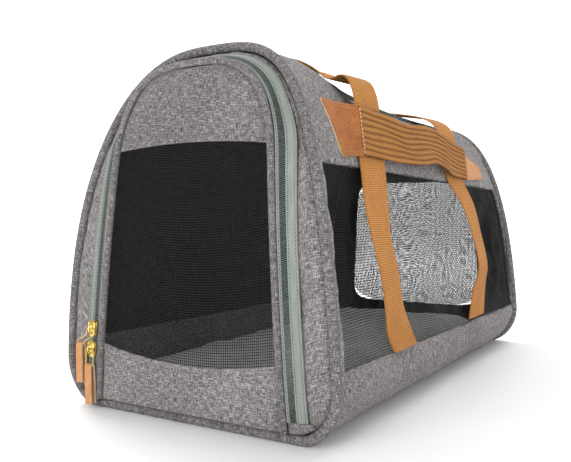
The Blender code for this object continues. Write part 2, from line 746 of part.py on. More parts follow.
def roof_height(x, y):
    """The height of the roof's outer surface above a place."""
    z = 0.9 * HEIGHT
    for _ in range(4):
        t = (y - front_y(z)) / (rear_y(z) - front_y(z))
        low, high = 0.0, 0.6
        for _ in range(24):
            middle = (low + high) / 2
            if wrap_point(middle, t)[0] < abs(x):
                low = middle
            else:
                high = middle
        z = wrap_point(low, t)[2]
    return z


def beside_side(p):
    """Moves a place on a side strap out until it clears the side."""
    p[0] = max(p[0], side_point(p[1], p[2])[0] + WEB_THICK / 2 + 2 * GAP)


def above_roof(p):
    """Moves a place on a loop up until it clears the roof."""
    if abs(p[0]) < LOOP_ON_ROOF:
        p[2] = max(p[2], roof_height(p[0], p[1]) + WEB_THICK / 2 + 3 * GAP)


def webbing(name, centres, turns, side, clear):
    """A flat strap along a path, its width along Y but for the turn at each place, on the side given."""
    centres = np.asarray(centres, float)
    tangents = np.gradient(centres, axis=0)
    outer, inner = [], []
    for centre, tangent, turn in zip(centres, tangents, np.radians(turns)):
        level = np.array([0.0, 1.0, 0.0])
        out = np.cross(tangent, level) / np.linalg.norm(np.cross(tangent, level))
        across = level * math.cos(turn) + out * math.sin(turn)
        rise = (out * math.cos(turn) - level * math.sin(turn)) * WEB_THICK / 2
        places = [centre + across * WEB_WIDTH * share for share in (-0.5, -0.25, 0.0, 0.25, 0.5)]
        for p in places:
            clear(p)
        outer.append([(p + rise) * (side, 1, 1) for p in places])
        inner.append([(p - rise) * (side, 1, 1) for p in places])
    return grid_solid(name, outer, inner, "tan_webbing")


def make_straps():
    for end, route in SIDE_ROUTES.items():
        path = [(*(side_point(y, z) + (off + WEB_THICK / 2, 0, 0)), turn) for z, y, off, turn in route]
        path = smooth_curve(path, 24)
        for side, name in ((1, "right"), (-1, "left")):
            webbing(f"side_strap_{end}_{name}", path[:, :3], path[:, 3], side, beside_side)
        right = smooth_curve(LOOP_ROUTES[end], 18)
        loop = np.vstack([right, right[-2::-1] * (-1, 1, 1)])
        webbing(f"loop_{end}", loop, np.zeros(len(loop)), 1, above_roof)


def band_edge(y):
    """Lower and upper height of the grip band at this y."""
    share = (y - BAND_FRONT[0]) / (BAND_REAR[0] - BAND_FRONT[0])
    return [a + (b - a) * share for a, b in zip(BAND_FRONT[1:], BAND_REAR[1:])]


def band_face(y, z):
    """The band's inner face: upright at its lower edge's distance, bowed out between its ends."""
    low, _ = band_edge(y)
    share = min(max((y - BAND_FRONT[0]) / (BAND_REAR[0] - BAND_FRONT[0]), 0.0), 1.0)
    bow = BAND_OUT * math.sin(math.pi * share) ** 2
    lower = side_point(y, low)[0] + BAND_STANDOFF
    return lower + bow - 0.12 * (z - low)


def make_bands():
    ys = np.linspace(BAND_FRONT[0], BAND_REAR[0], 21)
    for side, name in ((1, "right"), (-1, "left")):
        outer, inner = [], []
        for y in ys:
            levels = np.linspace(*band_edge(y), 7)
            faces = [np.array([band_face(y, z), y, z]) for z in levels]
            outer.append([(p + (BAND_THICK, 0, 0)) * (side, 1, 1) for p in faces])
            inner.append([p * (side, 1, 1) for p in faces])
        grid_solid(f"grip_band_{name}", outer, inner, "tan_webbing")


def rounded_ends(share, length):
    """How far a patch's outer edge is cut back at this share of its height, to round its corners."""
    reach = PATCH_ROUNDING / length
    near = min(share, 1 - share)
    if near >= reach:
        return 0.0
    return PATCH_ROUNDING * (1 - math.sqrt(1 - ((reach - near) / reach) ** 2))


def patch(name, side, band_end, outer_end, direction):
    """Leather between the band's end and the wrap: it lies on the wrap at its outer edge."""
    outer, inner = [], []
    for share in np.linspace(0, 1, 9):
        band_z = band_end[1] + (band_end[2] - band_end[1]) * share
        edge_z = outer_end[1] + (outer_end[2] - outer_end[1]) * share
        cut = rounded_ends(share, outer_end[2] - outer_end[1])
        row = []
        for a in np.linspace(0, 1, 7):
            y = band_end[0] + direction * GAP + (outer_end[0] - direction * cut - band_end[0]) * a
            z = band_z + (edge_z - band_z) * a
            on_wrap = side_point(y, z)[0] + 2 * GAP
            x = band_face(band_end[0], band_z) * (1 - a) ** 2 + on_wrap * (1 - (1 - a) ** 2)
            row.append(np.array([max(x, on_wrap), y, z]))
        outer.append([(p + (LEATHER_THICK, 0, 0)) * (side, 1, 1) for p in row])
        inner.append([p * (side, 1, 1) for p in row])
    grid_solid(name, outer, inner, "tan_leather")


def make_patches():
    for side, name in ((1, "right"), (-1, "left")):
        patch(f"patch_front_{name}", side, BAND_FRONT, FRONT_PATCH_OUTER, -1)
        patch(f"patch_rear_{name}", side, BAND_REAR, REAR_PATCH_OUTER, 1)


# ---------------------------------------------------------------- zip hardware


def box_data(name, boxes):
    """One mesh of boxes, each a centre and a size."""
    mesh = bmesh.new()
    for centre, size in boxes:
        box_mesh(mesh, centre, size)
    data = bpy.data.meshes.new(name)
    mesh.to_mesh(data)
    mesh.free()
    return data


def hidden(obj):
    obj.hide_render = True
    obj.display_type = "WIRE"
    return obj


def make_slider(name, pivot):
    """A block on the zip, and a bridge that stands over the link's top bar.

    The frame is the pivot's: the bar lies along X through its origin, the zip runs along Z, and -Y points
    away from the bag.
    """
    width, height, length = SLIDER_SIZE
    block = place(name, box_data(name, [((0, BAR_TO_BLOCK + height / 2, 0), (width, height, length))]),
                  "brass", pivot)
    top = -(WIRE / 2 + 3 * GAP + BRIDGE / 2)
    foot = BAR_TO_BLOCK + height / 2
    post = (BRIDGE_WIDTH, foot - top, BRIDGE)
    span = BRIDGE_SPAN / 2
    parts = [((0, (foot + top) / 2, end * span), post) for end in (-1, 1)]
    parts.append(((0, top, 0), (BRIDGE_WIDTH, BRIDGE, BRIDGE_SPAN + BRIDGE)))
    for index, (centre, size) in enumerate(parts):
        piece = hidden(place(f"{name}_bridge_{index}", box_data("bridge", [(centre, size)]), "brass", pivot))
        union = block.modifiers.new("bridge", "BOOLEAN")
        union.operation = "UNION"
        union.object = piece
    return block


def make_pull(name, pivot, sideways):
    """A wire link that hangs from the bar, and a leather pull folded over its lower end."""
    half = LINK_WIDTH / 2
    under_bar, above_end = LINK_STRAIGHT
    right = [(half, 0, 0), (half, 0, -under_bar), (half + sideways, 0, above_end - LINK_DROP),
             (half + sideways, 0, -LINK_DROP)]
    left = [(x - LINK_WIDTH, y, z) for x, y, z in reversed(right)]
    tube(f"link_{name}", right + left, WIRE / 2, "brass", cyclic=True, parent=pivot, local=True)
    path = [(-PULL_FOLD, -LINK_DROP - PULL_LENGTH), (-PULL_FOLD, -LINK_DROP - PULL_LENGTH / 2)]
    turn = np.linspace(0, math.pi, 9)
    path += [(-PULL_FOLD * math.cos(a), -LINK_DROP + PULL_FOLD * math.sin(a)) for a in turn]
    path += [(-y, z) for y, z in path[1::-1]]
    path = np.array(path)
    steps = np.gradient(path, axis=0)
    normals = np.column_stack([-steps[:, 1], steps[:, 0]]) / np.linalg.norm(steps, axis=1)[:, None]
    rows = []
    for side in (1, -1):
        layer = path + normals * side * PULL_LAYER / 2
        rows.append([[pivot_point(pivot, sideways + x, y, z) for x in (-PULL_WIDTH / 2, PULL_WIDTH / 2)]
                     for y, z in layer])
    grid_solid(f"pull_{name}", rows[0], rows[1], "tan_leather", parent=pivot)


def pivot_point(pivot, x, y, z):
    """A place in the pivot's own axes, moved to where its location is."""
    return np.array(pivot.location) + (x, y, z)


def make_zip_hardware():
    """Two sliders at the foot of the door zip's left leg, and one on the left-hand side of the roof zip."""
    for name, (z, sideways) in SLIDERS.items():
        w = -w_at_height(z)
        coil = (INNER_COIL[1] + OUTER_COIL[0]) / 2
        on_coil = gusset_point(w, coil, COIL_THICK + 2 * GAP)
        out = SLIDER_SIZE[1] + BAR_TO_BLOCK
        pivot = empty(f"slider_{name}_pivot", (on_coil[0], on_coil[1] - out, on_coil[2]))
        make_slider(f"slider_{name}", pivot)
        make_pull(name, pivot, sideways)
    make_roof_slider()


def make_roof_slider():
    """The roof slider lies on the shoulder: its own -Y is the outward normal, and its Z runs forward."""
    edge = v_at_half_width(FLAP_HALF_WIDTH) - (ZIP_TAPE / 2) / HALF_OUTLINE
    base = wrap_point(-edge, ROOF_SLIDER_T, GAP)
    above = wrap_point(-edge, ROOF_SLIDER_T, GAP + 0.001)
    ahead = wrap_point(-edge, ROOF_SLIDER_T - 0.02, GAP)
    normal = (above - base) / np.linalg.norm(above - base)
    forward = ahead - base
    forward = forward - normal * forward.dot(normal)
    forward = forward / np.linalg.norm(forward)
    out = SLIDER_SIZE[1] + BAR_TO_BLOCK
    pivot = empty("roof_slider_pivot", base + normal * (out + GAP))
    right = np.cross(-normal, forward)
    pivot.rotation_mode = "QUATERNION"
    axes = Matrix([[right[k], -normal[k], forward[k]] for k in range(3)])
    pivot.rotation_quaternion = axes.to_quaternion()
    make_slider("roof_slider", pivot)
    make_pull("roof", pivot, 0.0)


def main():
    remove_everything()
    make_rings()
    make_wrap()
    make_rear()
    make_floor()
    make_border()
    make_door()
    make_straps()
    make_bands()
    make_patches()
    make_zip_hardware()


main()
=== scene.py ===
"""Soft-sided pet carrier bag: cloth, webbing, leather, zips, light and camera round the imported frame.

Metres, +Z up, -Y is the door end and +X the right-hand side. The shape constants are those of the CAD source.
"""

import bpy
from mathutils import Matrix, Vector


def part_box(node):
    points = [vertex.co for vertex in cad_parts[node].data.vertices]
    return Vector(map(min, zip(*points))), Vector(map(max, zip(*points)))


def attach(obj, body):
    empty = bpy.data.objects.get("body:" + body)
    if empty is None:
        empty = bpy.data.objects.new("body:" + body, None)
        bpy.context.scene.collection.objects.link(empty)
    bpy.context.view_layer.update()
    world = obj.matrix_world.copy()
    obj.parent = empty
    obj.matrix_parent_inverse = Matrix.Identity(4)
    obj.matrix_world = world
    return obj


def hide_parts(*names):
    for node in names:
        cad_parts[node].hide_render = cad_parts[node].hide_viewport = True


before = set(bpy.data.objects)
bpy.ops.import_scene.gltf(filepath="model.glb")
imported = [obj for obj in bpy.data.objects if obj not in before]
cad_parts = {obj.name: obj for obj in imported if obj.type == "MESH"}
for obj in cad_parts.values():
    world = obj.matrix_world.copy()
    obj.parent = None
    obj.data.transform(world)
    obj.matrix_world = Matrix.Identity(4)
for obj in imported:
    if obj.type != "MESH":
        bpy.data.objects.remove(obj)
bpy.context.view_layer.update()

import functools
import math

import bpy
import numpy as np
from mathutils import Matrix, Vector

# Body
LENGTH = 0.459
HALF_WIDTH = 0.140
HEIGHT = 0.310
SIDE_POWER, ARCH_POWER = 3.0, 2.085
CORNER = 0.042
REAR_WIDTH, REAR_HEIGHT = 0.953, 0.855
REAR_SIDE_POWER, REAR_ARCH_POWER = 4.27, 1.887
FRONT_LEAN, REAR_LEAN = 0.043, 0.0126
ROOF_SAG, ROOF_RISE, ROOF_RISE_END = 0.0118, 0.0057, 0.28
HALF_OUTLINE = 0.475
FABRIC, LINING = 0.003, 0.001
GAP = 0.0003
PIPING_RADIUS, PIPING_SUNK = 0.004, 0.001
JOIN_HALF, JOIN_RISE = 0.011, 0.0004
RING_CLEAR = 0.0062
HOOP_RADIUS, HOOP_INSET = 0.0018, 0.028
WINDOW_LOW, WINDOW_TOP = 0.056, 0.210
WINDOW_FRONT, WINDOW_REAR = 0.026, 0.982
BAND_LOW = 0.012
REAR_WINDOW_LOW, REAR_WINDOW_TOP, REAR_WINDOW_HALF = 0.041, 0.200, 0.0845
REAR_WINDOW_TAPER, REAR_WINDOW_POWER = 0.085, 9
FLAP_HALF_WIDTH, FLAP_FRONT, FLAP_REAR = 0.074, 0.22, 0.80
ZIP_TAPE, TAPE_THICK, COIL_THICK = 0.012, 0.0012, 0.0018
COIL_PITCH, COIL_LOOP = 0.0016, (0.0009, 0.0015, 0.0008)
DOOR_HALF_WIDTH, DOOR_TAPER = 0.0975, 0.075
DOOR_SPRING, DOOR_HEIGHT, DOOR_ARCH_POWER = 0.211, 0.294, 2.6
DOOR_PROUD, DOOR_LEAN, DOOR_FOOT, DOOR_THICK = 0.007, 0.025, 0.0095, 0.003
DOOR_PIPING_RADIUS = 0.003
DOOR_WINDOW_LOW, DOOR_WINDOW_TOP = 0.059, 0.224
DOOR_WINDOW_BOW = (-0.010, 0.0045)
DOOR_HEM = 0.0072
INNER_TAPE, INNER_COIL = (0.0036, 0.0060), (0.0062, 0.0084)
OUTER_COIL, OUTER_TAPE = (0.0088, 0.0110), (0.0113, 0.0200)
ZIP_FOOT, ZIP_PARK = 0.018, 0.083
WEB_WIDTH, WEB_THICK = 0.045, 0.0018
# Side straps from top to foot: height, y, distance from the side and twist in degrees
SIDE_ROUTES = {
    "front": ((0.236, -0.117, 0.0015, 0), (0.212, -0.1235, 0.0015, 0), (0.178, -0.140, 0.0040, -2),
              (0.150, -0.147, 0.0060, -7), (0.120, -0.143, 0.0070, -8), (0.092, -0.138, 0.0055, -7),
              (0.070, -0.124, 0.0020, 0), (0.0545, -0.111, 0.0010, 0)),
    "rear": ((0.226, 0.075, 0.0015, 0), (0.196, 0.074, 0.0015, 0), (0.173, 0.080, 0.006, -4),
             (0.145, 0.078, 0.010, -8), (0.110, 0.074, 0.014, -8), (0.085, 0.081, 0.005, -3),
             (0.0545, 0.077, 0.0010, 0)),
}
# Carrying loops from the band to the middle of the roof: x, y, z
LOOP_ROUTES = {
    "front": ((0.1060, -0.114, 0.2410), (0.1045, -0.111, 0.2620), (0.0990, -0.110, 0.2790),
              (0.0915, -0.110, 0.2855), (0.0780, -0.110, 0.2840), (0.0500, -0.110, 0.2960),
              (0.0, -0.110, 0.3020)),
    "rear": ((0.1060, 0.076, 0.2310), (0.1045, 0.077, 0.2440), (0.0965, 0.078, 0.2580),
             (0.0800, 0.078, 0.2660), (0.0450, 0.077, 0.2725), (0.0, 0.076, 0.2770)),
}
LOOP_ON_ROOF = 0.088
BAND_FRONT, BAND_REAR = (-0.143, 0.216, 0.257), (0.101, 0.199, 0.240)
BAND_STANDOFF, BAND_OUT, BAND_THICK = 0.0045, 0.007, 0.0025
BAND_RIBS = 8              # an even number, so that a groove runs along the middle
RIB_HEIGHT = 0.0016
BAND_DROP = 0.0055         # the rear end of the band hangs this much lower at its upper edge
BAND_GROOVE = (BAND_FRONT[2] - BAND_FRONT[1]) / BAND_RIBS
LEATHER_THICK = 0.0020
FRONT_PATCH_OUTER, REAR_PATCH_OUTER = (-0.174, 0.214, 0.263), (0.175, 0.200, 0.219)
PATCH_ROUNDING = {"front": 0.006, "rear": 0.009}
MAT_THICK, MAT_PIPING_RADIUS = 0.028, 0.0015
SLIDER_SIZE = (0.009, 0.0035, 0.014)
SLIDERS = {"upper": (0.071, -0.0128), "lower": (0.053, -0.0004)}
ROOF_SLIDER_T = 0.47
WIRE, BAR_TO_BLOCK, BRIDGE, BRIDGE_SPAN = 0.0012, 0.0012, 0.0012, 0.0080
LINK_WIDTH, LINK_DROP, LINK_STRAIGHT = 0.0090, 0.0155, (0.0052, 0.0038)
PULL_WIDTH, PULL_LENGTH, PULL_LAYER, PULL_FOLD = 0.0066, 0.0325, 0.0016, 0.0021

CAMERA_PLACE = Vector((0.39347, -0.68357, 0.18274))
CAMERA_YAW, CAMERA_PITCH, CAMERA_ROLL, CAMERA_LENS = 0.579, 0.045, 0.016, 46.583
# Each lamp's place, what it faces, its size and its power
LAMPS = {
    "key": ((-1.5, 0.3, 1.5), (0.0, 0.0, 0.15), (0.9, 0.9), 26.0),
    "front": ((-0.2, -1.9, 0.6), (0.0, 0.0, 0.12), (1.2, 0.8), 15.0),
    "fill": ((1.9, -0.9, 0.7), (0.0, 0.0, 0.15), (1.2, 1.0), 11.0),
    "top": ((0.2, 0.7, 2.0), (0.0, 0.0, 0.1), (1.6, 1.6), 20.0),
}
SKY_STRENGTH = 0.62

STEP = 0.003               # spacing of the cloth grids
STATIONS = 80              # sections along the bag that places on its sides are read from
SIDES = ((1, "right"), (-1, "left"))
MIRROR = np.array([-1.0, 1.0, 1.0])


# ---------------------------------------------------------------- materials


class Look:
    """A node material in the making, with a Principled shader."""

    def __init__(self, name, **sockets):
        self.material = bpy.data.materials.new(name)
        self.material.use_nodes = True
        self.tree = self.material.node_tree
        self.shader = self.tree.nodes["Principled BSDF"]
        self.set(self.shader, {key.replace("_", " "): value for key, value in sockets.items()})

    def set(self, node, values):
        for name, value in values.items():
            if isinstance(value, bpy.types.NodeSocket):
                self.tree.links.new(value, node.inputs[name])
            else:
                node.inputs[name].default_value = value

    def node(self, kind, values, output=0, **settings):
        made = self.tree.nodes.new("ShaderNode" + kind)
        for name, value in settings.items():
            setattr(made, name, value)
        self.set(made, values)
        return made.outputs[output]

    def calc(self, operation, a, b=0.0, c=0.0):
        return self.node("Math", {0: a, 1: b, 2: c}, operation=operation)

    def cloth(self):
        """Place on the cloth in metres: X across it, Y along it."""
        return self.node("UVMap", {}, uv_map="cloth")

    def inside(self):
        return self.node("TexCoord", {}, output=3)

    def stretched(self, place, *size):
        return self.node("VectorMath", {0: place, 1: [1 / s for s in size]}, operation="MULTIPLY")

    def noise(self, place, size, detail=2.0, roughness=0.5):
        sizes = size if isinstance(size, tuple) else (size,) * 3
        values = {"Vector": self.stretched(place, *sizes), "Scale": 1.0}
        return self.node("TexNoise", {**values, "Detail": detail, "Roughness": roughness})

    def wave(self, value, period):
        """From 0 to 1 and back over each period."""
        turned = self.calc("SINE", self.calc("MULTIPLY", value, math.pi / period))
        return self.calc("ABSOLUTE", turned)

    def axes(self, place):
        made = self.tree.nodes.new("ShaderNodeSeparateXYZ")
        self.set(made, {0: place})
        return made.outputs[0], made.outputs[1]

    def ramp(self, factor, *stops):
        made = self.tree.nodes.new("ShaderNodeValToRGB")
        elements = made.color_ramp.elements
        for _ in stops[2:]:
            elements.new(0.5)
        for element, (position, colour) in zip(elements, stops):
            element.position = position
            element.color = (*colour, 1.0)
        self.set(made, {0: factor})
        return made.outputs[0]

    def finish(self, colour=None, height=None, depth=0.0002, roughness=None, strength=1.0):
        """Links the colour, the relief and a (centre, spread, factor) roughness."""
        if colour is not None:
            self.set(self.shader, {"Base Color": colour})
        if height is not None:
            bump = self.node("Bump", {"Height": height, "Distance": depth, "Strength": strength})
            self.set(self.shader, {"Normal": bump})
        if roughness is not None:
            centre, spread, factor = roughness
            swing = self.calc("MULTIPLY_ADD", factor, 2 * spread, centre - spread)
            self.set(self.shader, {"Roughness": swing})
        return self.material


def heather_look(name, dark, middle, light):
    """Melange cloth: short dark and light threads crossing each other, in a plain weave."""
    look = Look(name, Sheen_Weight=0.06, Sheen_Roughness=0.5, Specular_IOR_Level=0.2)
    place = look.cloth()
    warp = look.noise(place, (0.0007, 0.0048, 1.0), 2.0, 0.6)
    weft = look.noise(place, (0.0052, 0.0007, 1.0), 2.0, 0.6)
    slub = look.noise(place, (0.0120, 0.0009, 1.0), 0.0)
    patch = look.noise(place, (0.055, 0.055, 1.0), 3.0)
    threads = look.calc("MULTIPLY_ADD", warp, 0.5, look.calc("MULTIPLY", weft, 0.5))
    threads = look.calc("MULTIPLY_ADD", patch, 0.10, look.calc("SUBTRACT", threads, 0.05))
    bright = look.calc("MULTIPLY", look.calc("GREATER_THAN", slub, 0.69), 0.08)
    threads = look.calc("ADD", threads, bright)
    colour = look.ramp(threads, (0.36, dark), (0.50, middle), (0.64, light))
    u, v = look.axes(place)
    weave = look.calc("MULTIPLY", look.wave(u, 0.0007), look.wave(v, 0.0007))
    height = look.calc("MULTIPLY_ADD", threads, 1.6, look.calc("MULTIPLY", weave, 0.5))
    return look.finish(colour, height, 0.00035, (0.86, 0.08, warp))


def net_look(name, pitch, hole):
    """A knitted net: round-cornered holes in a square grid, open to what is behind.

    hole is half the width of a hole as a share of the pitch.
    """
    look = Look(name, Specular_IOR_Level=0.15)
    place = look.cloth()
    u, v = look.axes(place)
    powers = []
    for value in (u, v):
        cell = look.calc("SUBTRACT", look.calc("FRACT", look.calc("DIVIDE", value, pitch)), 0.5)
        powers.append(look.calc("POWER", look.calc("ABSOLUTE", cell), 4.0))
    outside = look.calc("ADD", *powers)
    thread = look.calc("GREATER_THAN", outside, hole**4)
    look.set(look.shader, {"Alpha": thread})
    tone = look.noise(place, 0.006, 2.0)
    colour = look.ramp(tone, (0.3, (0.004, 0.004, 0.0045)), (0.7, (0.016, 0.016, 0.017)))
    return look.finish(colour, look.calc("SQRT", outside), 0.0006, (0.55, 0.12, tone))


def webbing_look(name, dark, middle, light, cell, groove=None):
    """Heavy webbing: rows of short loops across the strap, with dark gaps between them.

    groove is the spacing of sewn channels along it, which are painted darker there as shade.
    """
    look = Look(name, Sheen_Weight=0.04, Sheen_Roughness=0.4, Specular_IOR_Level=0.2)
    place = look.cloth()
    u, v = look.axes(place)
    jitter = look.calc("MULTIPLY", look.noise(place, 0.004, 1.0), 0.0006)
    column = look.wave(look.calc("ADD", u, jitter), cell[0])
    rib = look.wave(look.calc("ADD", v, jitter), cell[1])
    loops = look.calc("MULTIPLY", look.calc("POWER", column, 0.65), look.calc("POWER", rib, 0.5))
    wear = look.noise(place, (0.018, 0.03, 1.0), 3.0, 0.6)
    fibre = look.noise(place, (0.0004, 0.0025, 1.0), 1.0)
    tone = look.calc("MULTIPLY_ADD", wear, 0.25, look.calc("MULTIPLY", loops, 0.7))
    tone = look.calc("MULTIPLY_ADD", fibre, 0.18, look.calc("SUBTRACT", tone, 0.08))
    if groove:
        # Painted shade: the colour is darkened along each sewn groove.
        painted_groove_shade = look.calc("POWER", look.wave(u, groove), 0.6)
        tone = look.calc("MULTIPLY", tone, look.calc("MULTIPLY_ADD", painted_groove_shade, 1.05, 0.12))
    colour = look.ramp(tone, (0.12, dark), (0.50, middle), (0.88, light))
    height = look.calc("MULTIPLY_ADD", fibre, 0.15, loops)
    return look.finish(colour, height, 0.0005, (0.78, 0.08, fibre))


def leather_look(name, dark, light, grain, depth):
    """Pebbled leather: rounded grains between fine creases, worn smoother and paler in patches."""
    look = Look(name, Specular_IOR_Level=0.35, Coat_Weight=0.05, Coat_Roughness=0.5)
    place = look.inside()
    warp = look.noise(place, grain * 2.5, 1.0)
    grains = look.node("TexVoronoi", {"Vector": place, "Scale": 1 / grain, "Randomness": 0.9},
                       feature="DISTANCE_TO_EDGE")
    pebble = look.calc("MINIMUM", look.calc("MULTIPLY", grains, 3.0), 1.0)
    patch = look.noise(place, 0.012, 3.0, 0.6)
    tone = look.calc("MULTIPLY_ADD", pebble, 0.35, look.calc("MULTIPLY", patch, 0.75))
    colour = look.ramp(tone, (0.22, dark), (0.80, light))
    height = look.calc("MULTIPLY_ADD", warp, 0.4, pebble)
    return look.finish(colour, height, depth, (0.58, 0.10, patch))


def fibre_look(name, dark, light, size, depth, **sockets):
    """Tightly packed fibres: felt, cut edges, thread and tape."""
    look = Look(name, **sockets)
    place = look.inside()
    fibre = look.noise(place, size, 2.0, 0.6)
    patch = look.noise(place, 0.02, 2.0)
    tone = look.calc("MULTIPLY_ADD", fibre, 0.7, look.calc("MULTIPLY", patch, 0.3))
    return look.finish(look.ramp(tone, (0.35, dark), (0.65, light)), fibre, depth, (0.85, 0.08, fibre))


def tape_look(name, dark, light):
    """Woven zip tape: fine herringbone along its length."""
    look = Look(name, Sheen_Weight=0.1, Specular_IOR_Level=0.3)
    place = look.cloth()
    u, v = look.axes(place)
    slant = look.calc("PINGPONG", u, 0.0016)
    rows = look.wave(look.calc("ADD", v, slant), 0.0007)
    patch = look.noise(place, (0.004, 0.02, 1.0), 3.0)
    tone = look.calc("MULTIPLY_ADD", rows, 0.35, look.calc("MULTIPLY", patch, 0.65))
    return look.finish(look.ramp(tone, (0.25, dark), (0.75, light)), rows, 0.0002, (0.75, 0.08, patch))


def metal_look(name, dark, light, roughness):
    """Plated metal with fine scratches and duller patches."""
    look = Look(name, Metallic=1.0)
    place = look.inside()
    patch = look.noise(place, 0.003, 3.0, 0.6)
    scratch = look.noise(place, (0.0002, 0.0002, 0.004), 2.0)
    colour = look.ramp(patch, (0.3, dark), (0.7, light))
    return look.finish(colour, scratch, 0.00004, (roughness, 0.08, patch))


def plastic_look(name, dark, light):
    look = Look(name, Specular_IOR_Level=0.5)
    tone = look.noise(look.inside(), 0.002, 2.0)
    return look.finish(look.ramp(tone, (0.3, dark), (0.7, light)), tone, 0.0001, (0.38, 0.08, tone))


def plush_look(name, dark, light):
    """Short brushed pile of a mat."""
    look = Look(name, Sheen_Weight=0.5, Sheen_Roughness=0.35, Specular_IOR_Level=0.15)
    place = look.inside()
    pile = look.noise(place, 0.0016, 3.0, 0.7)
    swirl = look.noise(place, 0.03, 3.0, 0.6)
    tone = look.calc("MULTIPLY_ADD", pile, 0.6, look.calc("MULTIPLY", swirl, 0.4))
    return look.finish(look.ramp(tone, (0.35, dark), (0.65, light)), pile, 0.0012, (0.92, 0.05, pile))


def floor_look(name):
    """White paper that glows a little away from the bag, as if lit by lamps of its own."""
    look = Look(name, Specular_IOR_Level=0.3, Emission_Color=(1.0, 1.0, 1.0, 1.0))
    place = look.inside()
    tone = look.noise(place, 0.4, 2.0)
    far = look.node("VectorMath", {0: place}, output=1, operation="LENGTH")
    glow = look.calc("MULTIPLY", look.calc("SUBTRACT", far, 0.45), 0.9)
    glow = look.calc("MINIMUM", look.calc("MAXIMUM", glow, 0.0), 0.55)
    look.set(look.shader, {"Emission Strength": glow})
    return look.finish(look.ramp(tone, (0.3, (0.90, 0.90, 0.90)), (0.7, (0.93, 0.93, 0.93))),
                       roughness=(0.6, 0.05, tone))


HEATHER = heather_look("heather", (0.040, 0.037, 0.037), (0.190, 0.176, 0.176), (0.50, 0.475, 0.475))
# Darker heather: the piping's own darker tone, and painted shade on the door's crown, which is otherwise the
# same cloth as the lower door.
PIPING_AND_PAINTED_SHADE_CLOTH = heather_look("piping_and_painted_shade_cloth", (0.034, 0.031, 0.031), (0.145, 0.134, 0.134), (0.40, 0.38, 0.38))
NET = net_look("net", 0.0021, 0.40)
CLOSE_NET = net_look("close_net", 0.0017, 0.28)
WEBBING = webbing_look("webbing", (0.105, 0.034, 0.005), (0.47, 0.180, 0.033), (0.74, 0.36, 0.095),
                       (0.0024, 0.0018))
BAND_CLOTH = webbing_look("band_cloth", (0.07, 0.024, 0.003), (0.42, 0.170, 0.034), (0.64, 0.30, 0.075),
                          (0.0010, 0.0012), groove=BAND_GROOVE)
LEATHER = leather_look("leather", (0.24, 0.068, 0.014), (0.52, 0.195, 0.050), 0.0022, 0.0006)
SMOOTH_LEATHER = leather_look("smooth_leather", (0.42, 0.160, 0.055), (0.62, 0.29, 0.12), 0.0014, 0.00012)
PULL_LEATHER = leather_look("pull_leather", (0.44, 0.165, 0.052), (0.66, 0.32, 0.125), 0.0010, 0.00010)
CUT_EDGE = fibre_look("cut_edge", (0.50, 0.36, 0.20), (0.86, 0.74, 0.52), 0.0005, 0.0002)
TAN_THREAD = fibre_look("tan_thread", (0.40, 0.16, 0.05), (0.60, 0.30, 0.12), 0.0003, 0.0001)
PALE_THREAD = fibre_look("pale_thread", (0.52, 0.39, 0.26), (0.80, 0.70, 0.56), 0.0003, 0.0001)
GREY_THREAD = fibre_look("grey_thread", (0.09, 0.085, 0.085), (0.24, 0.23, 0.23), 0.0003, 0.0001)
SAGE_TAPE = tape_look("sage_tape", (0.200, 0.222, 0.200), (0.35, 0.380, 0.345))
SAGE_COIL = plastic_look("sage_coil", (0.045, 0.062, 0.056), (0.12, 0.155, 0.14))
DARK_TAPE = tape_look("dark_tape", (0.020, 0.020, 0.022), (0.060, 0.060, 0.065))
DARK_COIL = plastic_look("dark_coil", (0.010, 0.010, 0.011), (0.035, 0.035, 0.038))
BLACK_CLOTH = tape_look("black_cloth", (0.006, 0.006, 0.007), (0.020, 0.020, 0.022))
BRASS = metal_look("brass", (0.52, 0.36, 0.075), (0.90, 0.70, 0.26), 0.24)
PLUSH = plush_look("plush", (0.42, 0.42, 0.41), (0.80, 0.80, 0.785))
BOARD = fibre_look("board", (0.012, 0.012, 0.012), (0.035, 0.035, 0.035), 0.002, 0.0003)


# ---------------------------------------------------------------- surfaces of the frame


def unit(vectors):
    """The same vectors with a length of one."""
    return vectors / np.linalg.norm(vectors, axis=-1, keepdims=True)


def lengths_along(points):
    """How far along a path each of its points is."""
    return np.concatenate([[0], np.cumsum(np.linalg.norm(np.diff(points, axis=0), axis=1))])


def smoothstep(value, low, high):
    x = np.clip((value - low) / (high - low), 0.0, 1.0)
    return x * x * (3 - 2 * x)


def arch_half_width(z, width, height, t):
    side = SIDE_POWER + (REAR_SIDE_POWER - SIDE_POWER) * t
    arch = ARCH_POWER + (REAR_ARCH_POWER - ARCH_POWER) * t
    return width * (1 - np.minimum(z / height, 1.0) ** arch) ** (1 / side)


def outline_table(outline, count):
    """x, z and the outward normal at even places along an outline."""
    along = lengths_along(outline)
    at = np.linspace(0, along[-1], count)
    x, z = np.interp(at, along, outline[:, 0]), np.interp(at, along, outline[:, 1])
    dx, dz = np.gradient(x), np.gradient(z)
    size = np.hypot(dx, dz)
    table = np.column_stack([x, z, dz / size, -dx / size])
    table[-1, 2:] = 0.0, 1.0
    return table


@functools.cache
def section(t):
    """Half an outline at fraction t of the length, from the middle of the floor round to the apex."""
    width = HALF_WIDTH * (1 + (REAR_WIDTH - 1) * t)
    height = HEIGHT * (1 + (REAR_HEIGHT - 1) * t)
    centre = arch_half_width(CORNER, width, height, t) - CORNER
    turn = np.linspace(0, math.pi / 2, 24)
    corner = np.column_stack([centre + CORNER * np.sin(turn), CORNER - CORNER * np.cos(turn)])
    z = CORNER + (height - CORNER) * np.sin(np.linspace(0, math.pi / 2, 160)[1:])
    arch = np.column_stack([arch_half_width(z, width, height, t), z])
    table = outline_table(np.vstack([[0.0, 0.0], corner, arch]), 400)
    table[0, 2:] = 0.0, -1.0
    return table


def front_y(z):
    return -LENGTH / 2 + FRONT_LEAN * (z / HEIGHT) ** 3


